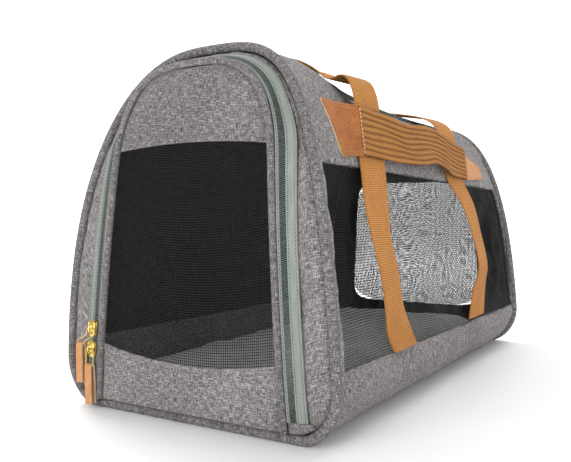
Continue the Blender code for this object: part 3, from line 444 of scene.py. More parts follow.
def rear_y(z):
    return LENGTH / 2 - REAR_LEAN * (z / (HEIGHT * REAR_HEIGHT)) ** 2


def wrap_row(vs, t, offset=0.0):
    """Points of the wrap at one t: v is 0 at the apex, 1 in the middle of the floor, negative on the left."""
    vs = (np.asarray(vs, float) + 1) % 2 - 1
    table = section(round(float(t), 6))
    at = np.linspace(0, 1, len(table))
    x, z, nx, nz = (np.interp(1 - np.abs(vs), at, column) for column in table.T)
    y = (1 - t) * front_y(z) + t * rear_y(z)
    along = min(max(t, 0.0), 1.0)
    hang = ROOF_SAG * math.sin(math.pi * along**1.1) ** 1.2
    rise = ROOF_RISE * math.sin(math.pi * min(along / ROOF_RISE_END, 1.0)) ** 2
    sag = smoothstep(z / HEIGHT, 0.70, 0.97) * (hang - rise)
    side = np.where(vs < 0, -1.0, 1.0)
    return np.column_stack([side * (x + offset * nx), y, z + offset * nz - sag])


def wrap_point(v, t, offset=0.0):
    return wrap_row([v], t, offset)[0]


def wrap_grid(vs, ts, offset=0.0):
    offsets = np.broadcast_to(offset, (len(ts), len(vs)))
    return np.array([wrap_row(vs, t, row) for t, row in zip(ts, offsets)])


def v_at_height(z):
    heights = section(0.0)[1:, 1]
    return 1 - float(np.interp(z, heights, np.linspace(0, 1, len(heights) + 1)[1:]))


def v_at_half_width(x):
    table = section(0.0)
    upper = table[:, 1] > HEIGHT / 2
    at = np.linspace(0, 1, len(table))[upper]
    return 1 - float(np.interp(-x, -table[upper, 0], at))


@functools.cache
def half_sections():
    """Rows of points from the apex down the right-hand side, at even fractions of the length."""
    vs = np.linspace(0.0, 0.78, 500)
    return [wrap_row(vs, t) for t in np.linspace(0, 1, STATIONS + 1)]


def between_stations(t, read):
    """A reading of the sections on both sides of t, blended."""
    place = min(max(t, 0.0), 1.0) * STATIONS
    first = min(int(place), STATIONS - 1)
    a, b = (read(half_sections()[k]) for k in (first, first + 1))
    return a + (b - a) * (place - first)


def side_point(y, z):
    """The point of the right-hand side at this place along the bag and this height."""
    t = (y - front_y(z)) / (rear_y(z) - front_y(z))
    x = between_stations(t, lambda row: np.interp(z, row[:40:-1, 2], row[:40:-1, 0]))
    return np.array([x, y, z])


def roof_height(x, y):
    z = 0.9 * HEIGHT
    for _ in range(4):
        t = (y - front_y(z)) / (rear_y(z) - front_y(z))
        z = between_stations(t, lambda row: np.interp(abs(x), row[:300, 0], row[:300, 2]))
    return z


def door_y(z):
    return -LENGTH / 2 - DOOR_PROUD + DOOR_LEAN * (z / HEIGHT) ** 2


def door_half_width(z):
    rise = np.minimum(np.maximum(z - DOOR_SPRING, 0.0) / (DOOR_HEIGHT - DOOR_SPRING), 1.0)
    return (DOOR_HALF_WIDTH - DOOR_TAPER * z) * (1 - rise**DOOR_ARCH_POWER) ** (1 / 3)


@functools.cache
def door_outline():
    legs = np.linspace(DOOR_FOOT, DOOR_SPRING, 60)
    arch = DOOR_SPRING + (DOOR_HEIGHT - DOOR_SPRING) * np.sin(np.linspace(0, math.pi / 2, 120)[1:])
    z = np.concatenate([legs, arch])
    return outline_table(np.column_stack([door_half_width(z), z]), 300)


def door_edge(w):
    """A point of the door's edge: w is 1 at the right foot, 0 at the apex and -1 at the left foot."""
    table = door_outline()
    at = np.linspace(0, 1, len(table))
    x, z = (np.interp(1 - abs(w), at, column) for column in table.T[:2])
    return np.array([-x if w < 0 else x, door_y(z), z])


def w_at_height(z):
    table = door_outline()
    return 1 - float(np.interp(z, table[:, 1], np.linspace(0, 1, len(table))))


def v_of_rim(z):
    """The v at which the ring's inner side is at this height."""
    table = section(0.0)[1:]
    shares = np.linspace(0, 1, len(table) + 1)[1:]
    return 1 - float(np.interp(z, table[:, 1] - RING_CLEAR * table[:, 3], shares))


@functools.cache
def gusset(w):
    """The gusset beside the door at w: its start, direction out to the ring, outward normal and end."""
    start = door_edge(w)
    spring = w_at_height(DOOR_SPRING)
    v = v_of_rim(start[2]) if abs(w) > spring else v_of_rim(DOOR_SPRING) * abs(w) / spring
    end = wrap_point(v if w >= 0 else -v, 0.0, -RING_CLEAR)
    direction = unit(end - start)
    normal = unit(np.cross(direction, door_edge(w - 0.002) - door_edge(w + 0.002)))
    return start, direction, -normal if normal[1] > 0 else normal, end


def gusset_at(w):
    return gusset(round(float(w), 9))


def gusset_point(w, distance, forward):
    """A point of the gusset this far from the door's edge and this far in front of the fabric."""
    start, direction, normal, end = gusset_at(w)
    first, last = INNER_TAPE[0], OUTER_TAPE[1]
    room = (np.linalg.norm(end - start) - 0.004 - first) / (last - first)
    return start + direction * (first + (distance - first) * min(room, 1.0)) + normal * forward


# ---------------------------------------------------------------- piece builders


def ripples(u, v, seed, length, count=12):
    """A smooth uneven field of about unit size, with waves of about this length."""
    random = np.random.default_rng(seed)
    total = np.zeros(np.broadcast(u, v).shape)
    for _ in range(count):
        angle = random.uniform(0, math.pi)
        size = length * random.uniform(0.6, 1.8)
        phase = random.uniform(0, 2 * math.pi)
        total = total + np.sin(2 * math.pi * (u * math.cos(angle) + v * math.sin(angle)) / size + phase)
    return total / math.sqrt(count / 2)


def cloth_relief(u, v, edge, seed, soft=0.0005):
    """How far a sewn panel stands out: soft waves, puckers beside its seams, and a dip at the seams."""
    pucker = ripples(u, v, seed + 1, 0.016) * 0.00035 * np.exp(-edge / 0.012)
    rise = 0.0006 * (1 - np.exp(-edge / 0.010))
    return ripples(u, v, seed, 0.07) * soft + pucker + rise - 0.0013 * np.exp(-((edge / 0.0028) ** 2))


def steps_between(low, high, size=1.0, step=STEP):
    return np.linspace(low, high, max(2, int(math.ceil(abs(high - low) * size / step)) + 1))


def arc_places(points, axis):
    lengths = np.linalg.norm(np.diff(points, axis=axis), axis=-1)
    start = np.zeros_like(np.take(lengths, [0], axis))
    return np.concatenate([start, np.cumsum(lengths, axis=axis)], axis=axis)


def cloth_places(grid):
    """X across a grid from its middle column, and Y along it, in metres."""
    across = arc_places(grid, 1)
    across = across - across[:, [grid.shape[1] // 2]]
    return np.stack([across, arc_places(grid, 0)], axis=-1)


def make_piece(name, points, faces, body, finishes, nodes=(), slots=None, places=None, angle=40):
    """A mesh piece that rides on a body and stands for its CAD nodes."""
    data = bpy.data.meshes.new(name)
    data.from_pydata(points, [], [list(map(int, face)) for face in faces])
    if places is not None:
        layer = data.uv_layers.new(name="cloth")
        corners = np.empty(len(data.loops), int)
        data.loops.foreach_get("vertex_index", corners)
        layer.data.foreach_set("uv", places[corners].astype(np.float32).ravel())
    for material in finishes:
        data.materials.append(material)
    if slots is not None:
        data.polygons.foreach_set("material_index", np.asarray(slots, np.int32))
    data.update()
    data.shade_smooth()
    data.set_sharp_from_angle(angle=math.radians(angle))
    piece = bpy.data.objects.new(name, data)
    bpy.context.scene.collection.objects.link(piece)
    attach(piece, body)
    if nodes:
        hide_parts(*nodes)
    return piece


def grid_faces(rows, columns):
    """Quads between the neighbours of a grid of points, which are numbered row by row."""
    index = np.arange(rows * columns).reshape(rows, columns)
    return np.stack([index[:-1, :-1], index[1:, :-1], index[1:, 1:], index[:-1, 1:]], axis=-1).reshape(-1, 4)


def volume(points, faces):
    total = 0.0
    for face in (faces[:, [0, 1, 2]], faces[:, [0, 2, 3]]):
        a, b, c = (points[face[:, k]] for k in range(3))
        total += float((a * np.cross(b, c)).sum())
    return total


def shell(name, outer, inner, body, finishes, nodes=(), keep=None, places=None, slot=None, rounded=0.0):
    """A closed sheet between two matching grids. Its finishes are those of its face, its back and its rim.

    rounded draws the outermost row of points on each long edge back towards the middle of the thickness.
    """
    outer, inner = np.array(outer, float), np.array(inner, float)
    if rounded:
        middle = (outer + inner) / 2
        for side in (0, -1):
            for grid in (outer, inner):
                grid[side] += (middle[side] - grid[side]) * rounded
                grid[:, side] += (middle[:, side] - grid[:, side]) * rounded
    rows, columns = outer.shape[:2]
    index = np.arange(rows * columns).reshape(rows, columns)
    cells = np.ones((rows - 1, columns - 1), bool) if keep is None else keep
    corner = [index[:-1, :-1], index[1:, :-1], index[1:, 1:], index[:-1, 1:]]
    top = np.stack([c[cells] for c in corner], axis=1)
    lower = top[:, ::-1] + rows * columns
    padded = np.pad(cells, 1)
    beyond = [padded[1:-1, :-2], padded[2:, 1:-1], padded[1:-1, 2:], padded[:-2, 1:-1]]
    rims = []
    for side in range(4):
        rim = cells & ~beyond[side]
        a, b = corner[side][rim], corner[(side + 1) % 4][rim]
        rims.append(np.stack([a + rows * columns, b + rows * columns, b, a], axis=1))
    faces = np.vstack([top, lower, *rims])
    slots = np.repeat([0, min(1, len(finishes) - 1), min(2, len(finishes) - 1)],
                      [len(top), len(lower), len(faces) - 2 * len(top)])
    points = np.vstack([outer.reshape(-1, 3), inner.reshape(-1, 3)])
    places = cloth_places(outer) if places is None else places
    places = np.tile(places.reshape(-1, 2), (2, 1))
    used, faces = np.unique(faces, return_inverse=True)
    faces = faces.reshape(-1, 4)
    points, places = points[used], places[used]
    if volume(points, faces) < 0:
        faces = faces[:, ::-1]
    return make_piece(name, points, faces, body, finishes, nodes, slots, places)


def cloth_sheet(name, grid, body, finish, nodes):
    """One open sheet along a grid of points."""
    places = cloth_places(grid).reshape(-1, 2)
    return make_piece(name, grid.reshape(-1, 3), grid_faces(*grid.shape[:2]), body, [finish], nodes,
                      places=places)


def surface(grid, keep=None):
    """Area of a grid of points, or only of those of its cells that are kept."""
    crossed = np.cross(grid[1:, 1:] - grid[:-1, :-1], grid[1:, :-1] - grid[:-1, 1:])
    areas = np.linalg.norm(crossed, axis=-1) / 2
    return float(areas.sum() if keep is None else areas[keep].sum())


def flat_size(grid, keep=None):
    """Width and length of a grid laid flat, and its area."""
    width = arc_places(grid, 1)[:, -1].max()
    length = arc_places(grid, 0)[-1].max()
    return (float(width), float(length)), min(surface(grid, keep), float(width * length))


def declare(piece, grid, held, *rests, keep=None):
    """Works out the size that a sheet's grid has when it is laid flat, and its area; nothing is done with
    them.
    """
    size, area = flat_size(grid, keep)


def tube(name, path, radius, body, finish, up, nodes=(), closed=False, sides=12):
    """A round tube along a path. up is a direction that the path never runs along."""
    path = np.asarray(path, float)
    if closed:
        tangents = np.roll(path, -1, axis=0) - np.roll(path, 1, axis=0)
    else:
        tangents = np.gradient(path, axis=0)
    tangents = unit(tangents)
    side = unit(np.cross(tangents, up))
    rise = np.cross(side, tangents)
    radii = np.broadcast_to(radius, len(path))[:, None, None]
    turn = np.linspace(0, 2 * math.pi, sides, endpoint=False)[None, :, None]
    rings = path[:, None] + radii * (np.cos(turn) * side[:, None] + np.sin(turn) * rise[:, None])
    count = len(path)
    index = np.arange(count * sides).reshape(count, sides)
    below = np.roll(index, -1, axis=0) if closed else index[1:]
    above = index if closed else index[:-1]
    faces = np.stack([above, np.roll(above, -1, axis=1), np.roll(below, -1, axis=1), below], axis=-1)
    faces = faces.reshape(-1, 4).tolist()
    if not closed:
        faces += [index[0][::-1].tolist(), index[-1].tolist()]
    along = lengths_along(path)
    round_it = np.linspace(0, 2 * math.pi * float(np.mean(radius)), sides)
    places = np.stack(np.broadcast_arrays(round_it[None, :], along[:, None]), axis=-1).reshape(-1, 2)
    return make_piece(name, rings.reshape(-1, 3), faces, body, [finish], nodes, None, places)


def capsules(name, frames, body, finish):
    """Small round-ended bars, each given as (centre, half length, half width, half height) vectors."""
    stations = ((-1.0, 0.45), (-0.72, 1.0), (0.72, 1.0), (1.0, 0.45))
    turn = np.linspace(0, 2 * math.pi, 6, endpoint=False)
    unit = np.array([(x, r * math.cos(a), r * math.sin(a)) for x, r in stations for a in turn])
    quads = [(6 * s + k, 6 * s + (k + 1) % 6, 6 * s + 6 + (k + 1) % 6, 6 * s + 6 + k)
             for s in range(3) for k in range(6)]
    caps = [tuple(range(5, -1, -1)), tuple(range(18, 24))]
    frames = np.asarray(frames, float)
    points = frames[:, None, 0] + np.einsum("sk,nkd->nsd", unit, frames[:, 1:])
    faces = [tuple(24 * n + k for k in face) for n in range(len(frames)) for face in quads + caps]
    return make_piece(name, points.reshape(-1, 3), faces, body, [finish], angle=50)


def stitch_frames(path, normals, pitch=0.0034, length=0.0023, radius=0.00035, lift=0.0001):
    """Stitches along a path that lies on a surface with these normals."""
    path = np.asarray(path, float)
    normals = np.broadcast_to(np.asarray(normals, float), path.shape)
    along = lengths_along(path)
    middles = np.arange(pitch / 2, along[-1] - pitch / 3, pitch)

    def at(places, columns):
        return np.column_stack([np.interp(places, along, c) for c in columns.T])

    direction = unit(at(middles + length / 2, path) - at(middles - length / 2, path))
    normal = unit(at(middles, normals))
    across = np.cross(normal, direction)
    centre = at(middles, path) + normal * lift
    return np.stack([centre, direction * length / 2, across * radius, normal * radius], axis=1)


def stitches(name, path, normals, body, thread, *sizes, **more):
    """A row of stitches, of the sizes that stitch_frames takes."""
    capsules(name, stitch_frames(path, normals, *sizes, **more), body, thread)


def smooth_curve(points, count):
    """A Catmull-Rom curve through a few points, read at evenly spaced places along it."""
    points = np.asarray(points, float)
    ends = np.vstack([2 * points[0] - points[1], points, 2 * points[-1] - points[-2]])
    s = np.linspace(0, 1, 20, endpoint=False)[:, None]
    dense = [
        0.5 * (2 * b + (c - a) * s + (2 * a - 5 * b + 4 * c - d) * s**2 + (3 * b - a - 3 * c + d) * s**3)
        for a, b, c, d in zip(ends, ends[1:], ends[2:], ends[3:])
    ]
    dense = np.vstack([*dense, points[-1:]])
    along = lengths_along(dense[:, :3])
    at = np.linspace(0, along[-1], count)
    return np.column_stack([np.interp(at, along, column) for column in dense.T])


# ---------------------------------------------------------------- wrap, rings and floor


def ring_path(t, offset, count, lowest):
    path = wrap_row(np.linspace(-1, 1, count, endpoint=False), t, offset)
    path[:, 2] = np.maximum(path[:, 2], lowest)
    return path


def make_rings():
    """The piped rings, each with the overlap of its piping's ends, and the hoops in their sleeves."""
    for name, t, inwards, join in (("front", 0.0, HOOP_INSET, -0.905), ("rear", 1.0, -HOOP_INSET, 0.93)):
        path = ring_path(t, -PIPING_SUNK, 420, PIPING_RADIUS)
        tube(f"ring_{name}", path, PIPING_RADIUS, "bag", PIPING_AND_PAINTED_SHADE_CLOTH, (0, 1, 0), [f"{name}_piping"],
             closed=True, sides=16)
        overlap = wrap_row(join + np.linspace(-JOIN_HALF, JOIN_HALF, 9), t, -PIPING_SUNK)
        overlap[:, 2] = np.maximum(overlap[:, 2], PIPING_RADIUS + JOIN_RISE)
        radii = PIPING_RADIUS + np.pad(np.full(7, JOIN_RISE), 1)
        tube(f"ring_{name}_join", overlap, radii, "bag", PIPING_AND_PAINTED_SHADE_CLOTH, (0, 1, 0), sides=16)
        depth = -(FABRIC + LINING + HOOP_RADIUS + 5 * GAP)
        hoop = ring_path(t + inwards, depth, 240, FABRIC + HOOP_RADIUS + 2 * GAP)
        pucker = HOOP_RADIUS + 0.0003 + 0.0002 * np.sin(np.linspace(0, 80 * math.pi, 240, endpoint=False))
        tube(f"hoop_sleeve_{name}", hoop, pucker, "bag", BLACK_CLOTH, (0, 1, 0), [f"{name}_hoop"], True)


def wrap_ends():
    margin = 1.3 * PIPING_RADIUS / LENGTH
    return margin, 1 - margin


def wrap_panel(name, vs, ts, edge, seed, nodes, keep=None, soft=0.0005, lining=BLACK_CLOTH):
    """A sewn panel of the wrap. edge is each point's distance from the nearest seam."""
    u, v = np.meshgrid(vs * HALF_OUTLINE, ts * LENGTH)
    outer = wrap_grid(vs, ts, cloth_relief(u, v, edge, seed, soft))
    inner = wrap_grid(vs, ts, -FABRIC)
    piece = shell(name, outer, inner, "bag", [HEATHER, lining, HEATHER], nodes, keep, slot="grey_weave")
    declare(piece, outer, "stretched", "ring_front", "ring_rear", keep=keep)


def seam_distance(values, *edges):
    """Distance of each value from the nearest of these edges."""
    return np.min([np.abs(values - edge) for edge in edges], axis=0)


def make_sides(low, top, foot, ts):
    for side, name in SIDES:
        vs = side * steps_between(foot, low, HALF_OUTLINE)
        across = seam_distance(np.abs(vs), low) * HALF_OUTLINE
        ends = seam_distance(ts, ts[0], ts[-1]) * LENGTH
        edge = np.minimum(across[None, :], ends[:, None])
        wrap_panel(f"lower_side_{name}", vs, ts, edge, 11 + side, [f"side_band_{name}"], lining=HEATHER)
    make_side_net(low, top)
    vs = -steps_between(low, top, HALF_OUTLINE)
    inner_ts = steps_between(WINDOW_FRONT, WINDOW_REAR, LENGTH)
    edge = np.minimum(seam_distance(-vs, low, top)[None, :] * HALF_OUTLINE,
                      seam_distance(inner_ts, WINDOW_FRONT, WINDOW_REAR)[:, None] * LENGTH)
    wrap_panel("left_side", vs, inner_ts, edge, 15, ["side_panel"], soft=0.0009)


def make_side_net(low, top):
    """The net hangs a little slack: a shallow hollow with slanting folds, held all round its edge."""
    vs = steps_between(low + 0.004, top - 0.004, HALF_OUTLINE)
    ts = steps_between(WINDOW_FRONT - 0.005, WINDOW_REAR + 0.005, LENGTH)
    u, v = np.meshgrid(vs * HALF_OUTLINE, ts * LENGTH)
    ends = np.minimum(v - v.min(), v.max() - v)
    sides = np.minimum(u - u.min(), u.max() - u)
    hold = (1 - np.exp(-((ends / 0.030) ** 2))) * (1 - np.exp(-((sides / 0.022) ** 2)))
    folds = 0.0022 * ripples(u * 0.8 + v * 0.5, v, 31, 0.055)
    folds = folds + 0.0016 * np.abs(ripples(u, v * 1.3, 32, 0.045))
    net = wrap_grid(vs, ts, -0.0012 - hold * (0.0030 + folds))
    piece = cloth_sheet("side_net", net, "bag", NET, ["side_mesh"])
    declare(piece, net, "stretched", "lower_side_right", "roof_cloth")


def make_wrap():
    start, stop = wrap_ends()
    low, top, foot = (v_at_height(z) for z in (WINDOW_LOW, WINDOW_TOP, BAND_LOW))
    ts = steps_between(start, stop, LENGTH)
    vs = steps_between(foot, 2 - foot, HALF_OUTLINE)
    ends = seam_distance(ts, ts[0], ts[-1]) * LENGTH
    edge = np.repeat(ends[:, None], len(vs), axis=1)
    wrap_panel("floor_cloth", vs, ts, edge + 0.004, 5, ["bottom_panel"], soft=0.0)
    make_sides(low, top, foot, ts)
    make_roof(low, top, start, stop)


def make_roof(low, top, start, stop):
    """Roof and shoulders in one, down to the lower bands at both ends, round the windows and the flap."""
    edge_v = v_at_half_width(FLAP_HALF_WIDTH)
    half = np.concatenate([
        steps_between(0, edge_v, HALF_OUTLINE), steps_between(edge_v, top, HALF_OUTLINE)[1:],
        steps_between(top, low, HALF_OUTLINE)[1:],
    ])
    vs = np.concatenate([-half[:0:-1], half])
    ts = np.concatenate([
        steps_between(start, WINDOW_FRONT, LENGTH), steps_between(WINDOW_FRONT, FLAP_FRONT, LENGTH)[1:],
        steps_between(FLAP_FRONT, FLAP_REAR, LENGTH)[1:], steps_between(FLAP_REAR, WINDOW_REAR, LENGTH)[1:],
        steps_between(WINDOW_REAR, stop, LENGTH)[1:],
    ])
    size = np.abs(vs)
    middle_v, middle_t = (size[1:] + size[:-1]) / 2, (ts[1:] + ts[:-1]) / 2
    beside = (middle_t[:, None] > WINDOW_FRONT) & (middle_t[:, None] < WINDOW_REAR)
    over_window = (middle_v[None, :] > top) & beside
    flap = (middle_v[None, :] < edge_v) & (middle_t[:, None] > FLAP_FRONT) & (middle_t[:, None] < FLAP_REAR)
    to_window = outside_box((size[None, :] - top) * HALF_OUTLINE,
                            (ts[:, None] - WINDOW_FRONT) * LENGTH, (WINDOW_REAR - ts[:, None]) * LENGTH)
    to_flap = outside_box((edge_v - size[None, :]) * HALF_OUTLINE,
                          (ts[:, None] - FLAP_FRONT) * LENGTH, (FLAP_REAR - ts[:, None]) * LENGTH)
    ends = seam_distance(ts, ts[0], ts[-1])[:, None] * LENGTH
    edge = np.minimum(np.minimum(to_window, to_flap), ends)
    wrap_panel("roof_cloth", vs, ts, edge, 21, ["roof_panel"], ~(over_window | flap))
    under = -(FABRIC + 3 * GAP)
    lining_vs, lining_ts = vs[size <= top], ts[4:-4]
    u, v = np.meshgrid(lining_vs * HALF_OUTLINE, lining_ts * LENGTH)
    sag = under - LINING / 2 - 0.0006 * (1 + ripples(u, v, 23, 0.05)) * 0.5
    lining = cloth_sheet("roof_lining", wrap_grid(lining_vs, lining_ts, sag), "bag", BLACK_CLOTH,
                         ["lining_roof"])
    declare(lining, wrap_grid(lining_vs, lining_ts, under), "hung", "roof_cloth")
    make_flap(edge_v)


def outside_box(inside_v, after, before):
    """Distance outside a box, given how far inside it each point is from its sides."""
    out_v = np.maximum(-inside_v, 0.0)
    out_t = np.maximum(np.maximum(-after, -before), 0.0)
    return np.hypot(out_v, out_t)


def make_flap(edge_v):
    """The flap is sewn on at the rear; a dark zip runs round its other three sides."""
    across, along = (ZIP_TAPE + 2 * GAP) / HALF_OUTLINE, (ZIP_TAPE + 2 * GAP) / LENGTH
    vs = steps_between(across - edge_v, edge_v - across, HALF_OUTLINE)
    ts = steps_between(FLAP_FRONT + along, FLAP_REAR - GAP / LENGTH, LENGTH)
    edge = np.minimum(seam_distance(vs, vs[0], vs[-1])[None, :] * HALF_OUTLINE,
                      seam_distance(ts, ts[0], ts[-1])[:, None] * LENGTH)
    wrap_panel("flap_cloth", vs, ts, edge, 41, ["top_flap"])
    slit = GAP / HALF_OUTLINE
    zip_vs = np.concatenate([
        steps_between(-edge_v + slit, across - edge_v, HALF_OUTLINE, 0.002), vs[1:-1],
        steps_between(edge_v - across, edge_v - slit, HALF_OUTLINE, 0.002),
    ])
    zip_ts = np.concatenate([steps_between(FLAP_FRONT + GAP / LENGTH, ts[0], LENGTH, 0.002), ts[1:]])
    middle_v, middle_t = np.abs(zip_vs[1:] + zip_vs[:-1]) / 2, (zip_ts[1:] + zip_ts[:-1]) / 2
    keep = (middle_v[None, :] > edge_v - across) | (middle_t[:, None] < FLAP_FRONT + along)
    outer, inner = wrap_grid(zip_vs, zip_ts, -0.0002), wrap_grid(zip_vs, zip_ts, -0.0002 - TAPE_THICK)
    shell("roof_zip_tape", outer, inner, "bag", [DARK_TAPE], ["top_zip"], keep, slot="dark_zip")
    line = edge_v - across / 2
    front = FLAP_FRONT + along / 2
    legs = steps_between(FLAP_REAR - 0.004, front, LENGTH)
    turn = steps_between(line, -line, HALF_OUTLINE)[1:-1]
    route = [(line, t) for t in legs] + [(v, front) for v in turn] + [(-line, t) for t in legs[::-1]]
    path = np.array([wrap_point(v, t, 0.0004) for v, t in route])
    normals = np.array([wrap_point(v, t, 0.002) for v, t in route]) - path
    frames = stitch_frames(path, normals, 0.0015, 0.0009, 0.0015, 0.0)
    frames[:, 3] *= 0.45
    capsules("roof_zip_coil", frames, "bag", DARK_COIL)
    for shift, label in ((0.0048, "outer"), (-0.0048, "inner")):
        sewn = [(v + np.sign(v) * shift / HALF_OUTLINE if abs(abs(v) - line) < 1e-9 else v,
                 t - (shift / LENGTH if t == front else 0.0)) for v, t in route]
        rows = [wrap_point(v, t, 0.0001) for v, t in sewn]
        stitches(f"roof_zip_stitches_{label}", rows, normals, "bag", GREY_THREAD)


def rear_window(edge, clearance=0.0):
    """The window's outline where the lines from its centre to the points of an edge cross it."""
    centre = (REAR_WINDOW_LOW + REAR_WINDOW_TOP) / 2
    half_height = (REAR_WINDOW_TOP - REAR_WINDOW_LOW) / 2
    x, z = edge[:, 0], edge[:, 2] - centre
    size = np.abs(x / REAR_WINDOW_HALF) ** REAR_WINDOW_POWER + np.abs(z / half_height) ** REAR_WINDOW_POWER
    scale = size ** (-1 / REAR_WINDOW_POWER) * (1 - clearance / half_height)
    outline = edge.copy()
    outline[:, 0] = x * scale * (1 - REAR_WINDOW_TAPER * z * scale / REAR_WINDOW_HALF)
    outline[:, 2] = centre + z * scale
    return outline


def rear_rings(edge, target, shares, inwards, relief):
    """Rows of points between an edge and what it shrinks to. relief gives how far each row stands out."""
    rows = []
    for share in shares:
        row = target + (edge - target) * share
        row[:, 1] = rear_y(row[:, 2]) - inwards + relief(row, share)
        rows.append(row)
    return np.array(rows)


def closed_rows(rows):
    """The same rows with the first point of each again at its end."""
    return np.concatenate([rows, rows[:, :1]], axis=1)


def make_rear():
    """The rear wall: fabric and lining round a window of net."""
    around = np.linspace(-1, 1, 241)[:-1]
    edge = wrap_row(around, 1.0, -RING_CLEAR + 0.003)
    edge[:, 2] = np.maximum(edge[:, 2], 2 * PIPING_RADIUS + GAP)
    window = rear_window(edge)
    width = np.linalg.norm(edge - window, axis=1)

    def sewn(row, share):
        return cloth_relief(row[:, 0], row[:, 2], np.minimum(share, 1 - share) * width, 51)

    shares = np.linspace(1, 0, 16)
    outer = closed_rows(rear_rings(edge, window, shares, -0.0015, sewn))
    inner = closed_rows(rear_rings(edge, window, shares, -0.0015 + FABRIC, lambda row, share: 0.0))
    cloth = shell("rear_cloth", outer, inner, "bag", [HEATHER, BLACK_CLOTH, HEATHER], ["rear_panel"],
                  places=closed_rows(outer[:, :-1])[..., [0, 2]], slot="grey_weave")
    rim = wrap_row(around, 1.0, -(FABRIC + LINING + 2 * HOOP_RADIUS + 9 * GAP))
    rim[:, 2] = np.maximum(rim[:, 2], 2 * PIPING_RADIUS + GAP)
    lined = closed_rows(rear_rings(rim, rear_window(rim), shares, FABRIC - 0.0008, lambda row, share: 0.0))
    lining = cloth_sheet("rear_lining", lined, "bag", BLACK_CLOTH, ["lining_rear"])
    make_rear_net(edge)


def make_rear_net(edge):
    """Rows of net from side to side; it hangs a little slack and lies behind the fabric at its edge."""
    top, bottom = REAR_WINDOW_TOP + 0.003, REAR_WINDOW_LOW - 0.003
    z, share = np.meshgrid(np.linspace(bottom, top, 55), np.linspace(-1, 1, 59), indexing="ij")
    centre, half = (top + bottom) / 2, (top - bottom) / 2
    width = (REAR_WINDOW_HALF + 0.003) * (1 - np.abs((z - centre) / half) ** REAR_WINDOW_POWER * 0.55)
    x = share * width * (1 - REAR_WINDOW_TAPER * (z - centre) / REAR_WINDOW_HALF)
    hold = (1 - share**6) * (1 - ((z - centre) / half) ** 6)
    y = rear_y(z) - 0.0004 - hold * (0.0035 + 0.0012 * ripples(x, z, 55, 0.06))
    net = np.stack([x, y, z], axis=-1)
    piece = cloth_sheet("rear_net", net, "bag", CLOSE_NET, ["rear_mesh"])
    declare(piece, net, "stretched", "rear_cloth")
    hem = closed_rows(rear_window(edge)[None])[0]
    away = hem - hem.mean(axis=0)
    row = hem + unit(away) * 0.006
    row[:, 1] = rear_y(row[:, 2]) + 0.0021
    stitches("rear_window_stitches", row, (0.0, 1.0, 0.0), "bag", GREY_THREAD)


def mat_form(size, low, thick):
    """A thin pillow: flat beneath, crowned above, its sides drawn in a little between the corners."""
    along, across = np.linspace(-1, 1, 71), np.linspace(-1, 1, 37)
    u, v = np.meshgrid(across, along)
    x = u * size[0] * (1 - 0.022 * (1 - v**4) * np.abs(u) ** 6)
    y = v * size[1] * (1 - 0.018 * (1 - u**4) * np.abs(v) ** 6)
    rim = (1 - np.abs(u) ** 14) * (1 - np.abs(v) ** 20)
    crown = (0.35 + 0.65 * rim**0.5) * rim**0.35
    top = low + thick * (0.30 + 0.62 * crown) + 0.0008 * ripples(x, y, 61, 0.06) * rim
    bottom = low + thick * 0.30 * (1 - rim**0.4)
    return np.stack([x, y, top], axis=-1), np.stack([x, y, bottom], axis=-1)


def swell(piece, low, high, cap):
    """Puffs a closed mesh up with a short cloth simulation, keeping each point within cap of where it was."""
    scene = bpy.context.scene
    bpy.context.view_layer.objects.active = piece
    piece.data.remesh_voxel_size = 0.005
    with bpy.context.temp_override(active_object=piece, object=piece, selected_objects=[piece]):
        bpy.ops.object.voxel_remesh()
    before = np.array([v.co for v in piece.data.vertices])
    cloth = piece.modifiers.new("swell", "CLOTH")
    cloth.settings.use_pressure = True
    cloth.settings.uniform_pressure_force = 4.0
    cloth.settings.effector_weights.gravity = 0.0
    cloth.settings.tension_stiffness = 20.0
    cloth.settings.bending_stiffness = 2.0
    for number in range(1, 21):
        scene.frame_set(number)
    shape = piece.evaluated_get(bpy.context.evaluated_depsgraph_get())
    after = np.array([v.co for v in shape.data.vertices])
    piece.modifiers.remove(cloth)
    scene.frame_set(1)
    move = after - before
    far = np.linalg.norm(move, axis=1)[:, None]
    after = before + move * np.minimum(1.0, cap / np.maximum(far, 1e-9))
    after[:, 2] = np.clip(after[:, 2], low, high)
    piece.data.vertices.foreach_set("co", after.astype(np.float32).ravel())
    piece.data.update()


def make_mat():
    """A padded mat with piping round it, on a stiff board."""
    box_low, box_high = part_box("base_mat")
    low, high = box_low[2], box_high[2]
    size = (box_high[0] - 0.003, box_high[1] - 0.003)
    top, bottom = mat_form(size, low, MAT_THICK)
    mat = shell("mat", top, bottom, "bag", [PLUSH], ["base_mat"], slot="mat_fabric")
    swell(mat, low, high + 0.003, 0.005)
    smooth = mat.modifiers.new("smooth", "SUBSURF")
    smooth.levels = smooth.render_levels = 1
    mat.data.shade_smooth()
    turn = np.linspace(0, 2 * math.pi, 240, endpoint=False)
    across, along = (np.sign(wave) * np.abs(wave) ** 0.16 for wave in (np.cos(turn), np.sin(turn)))
    path = np.column_stack([across * size[0], along * size[1], np.full(240, low + MAT_THICK * 0.42)])
    tube("mat_piping", path, MAT_PIPING_RADIUS, "bag", PLUSH, (0, 0, 1), closed=True, sides=8)
    finish_board()


def finish_board():
    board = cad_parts["base_board"]
    board.data.materials.clear()
    board.data.materials.append(BOARD)
    bevel = board.modifiers.new("edge", "BEVEL")
    bevel.width, bevel.segments = 0.001, 2


# ---------------------------------------------------------------- door end


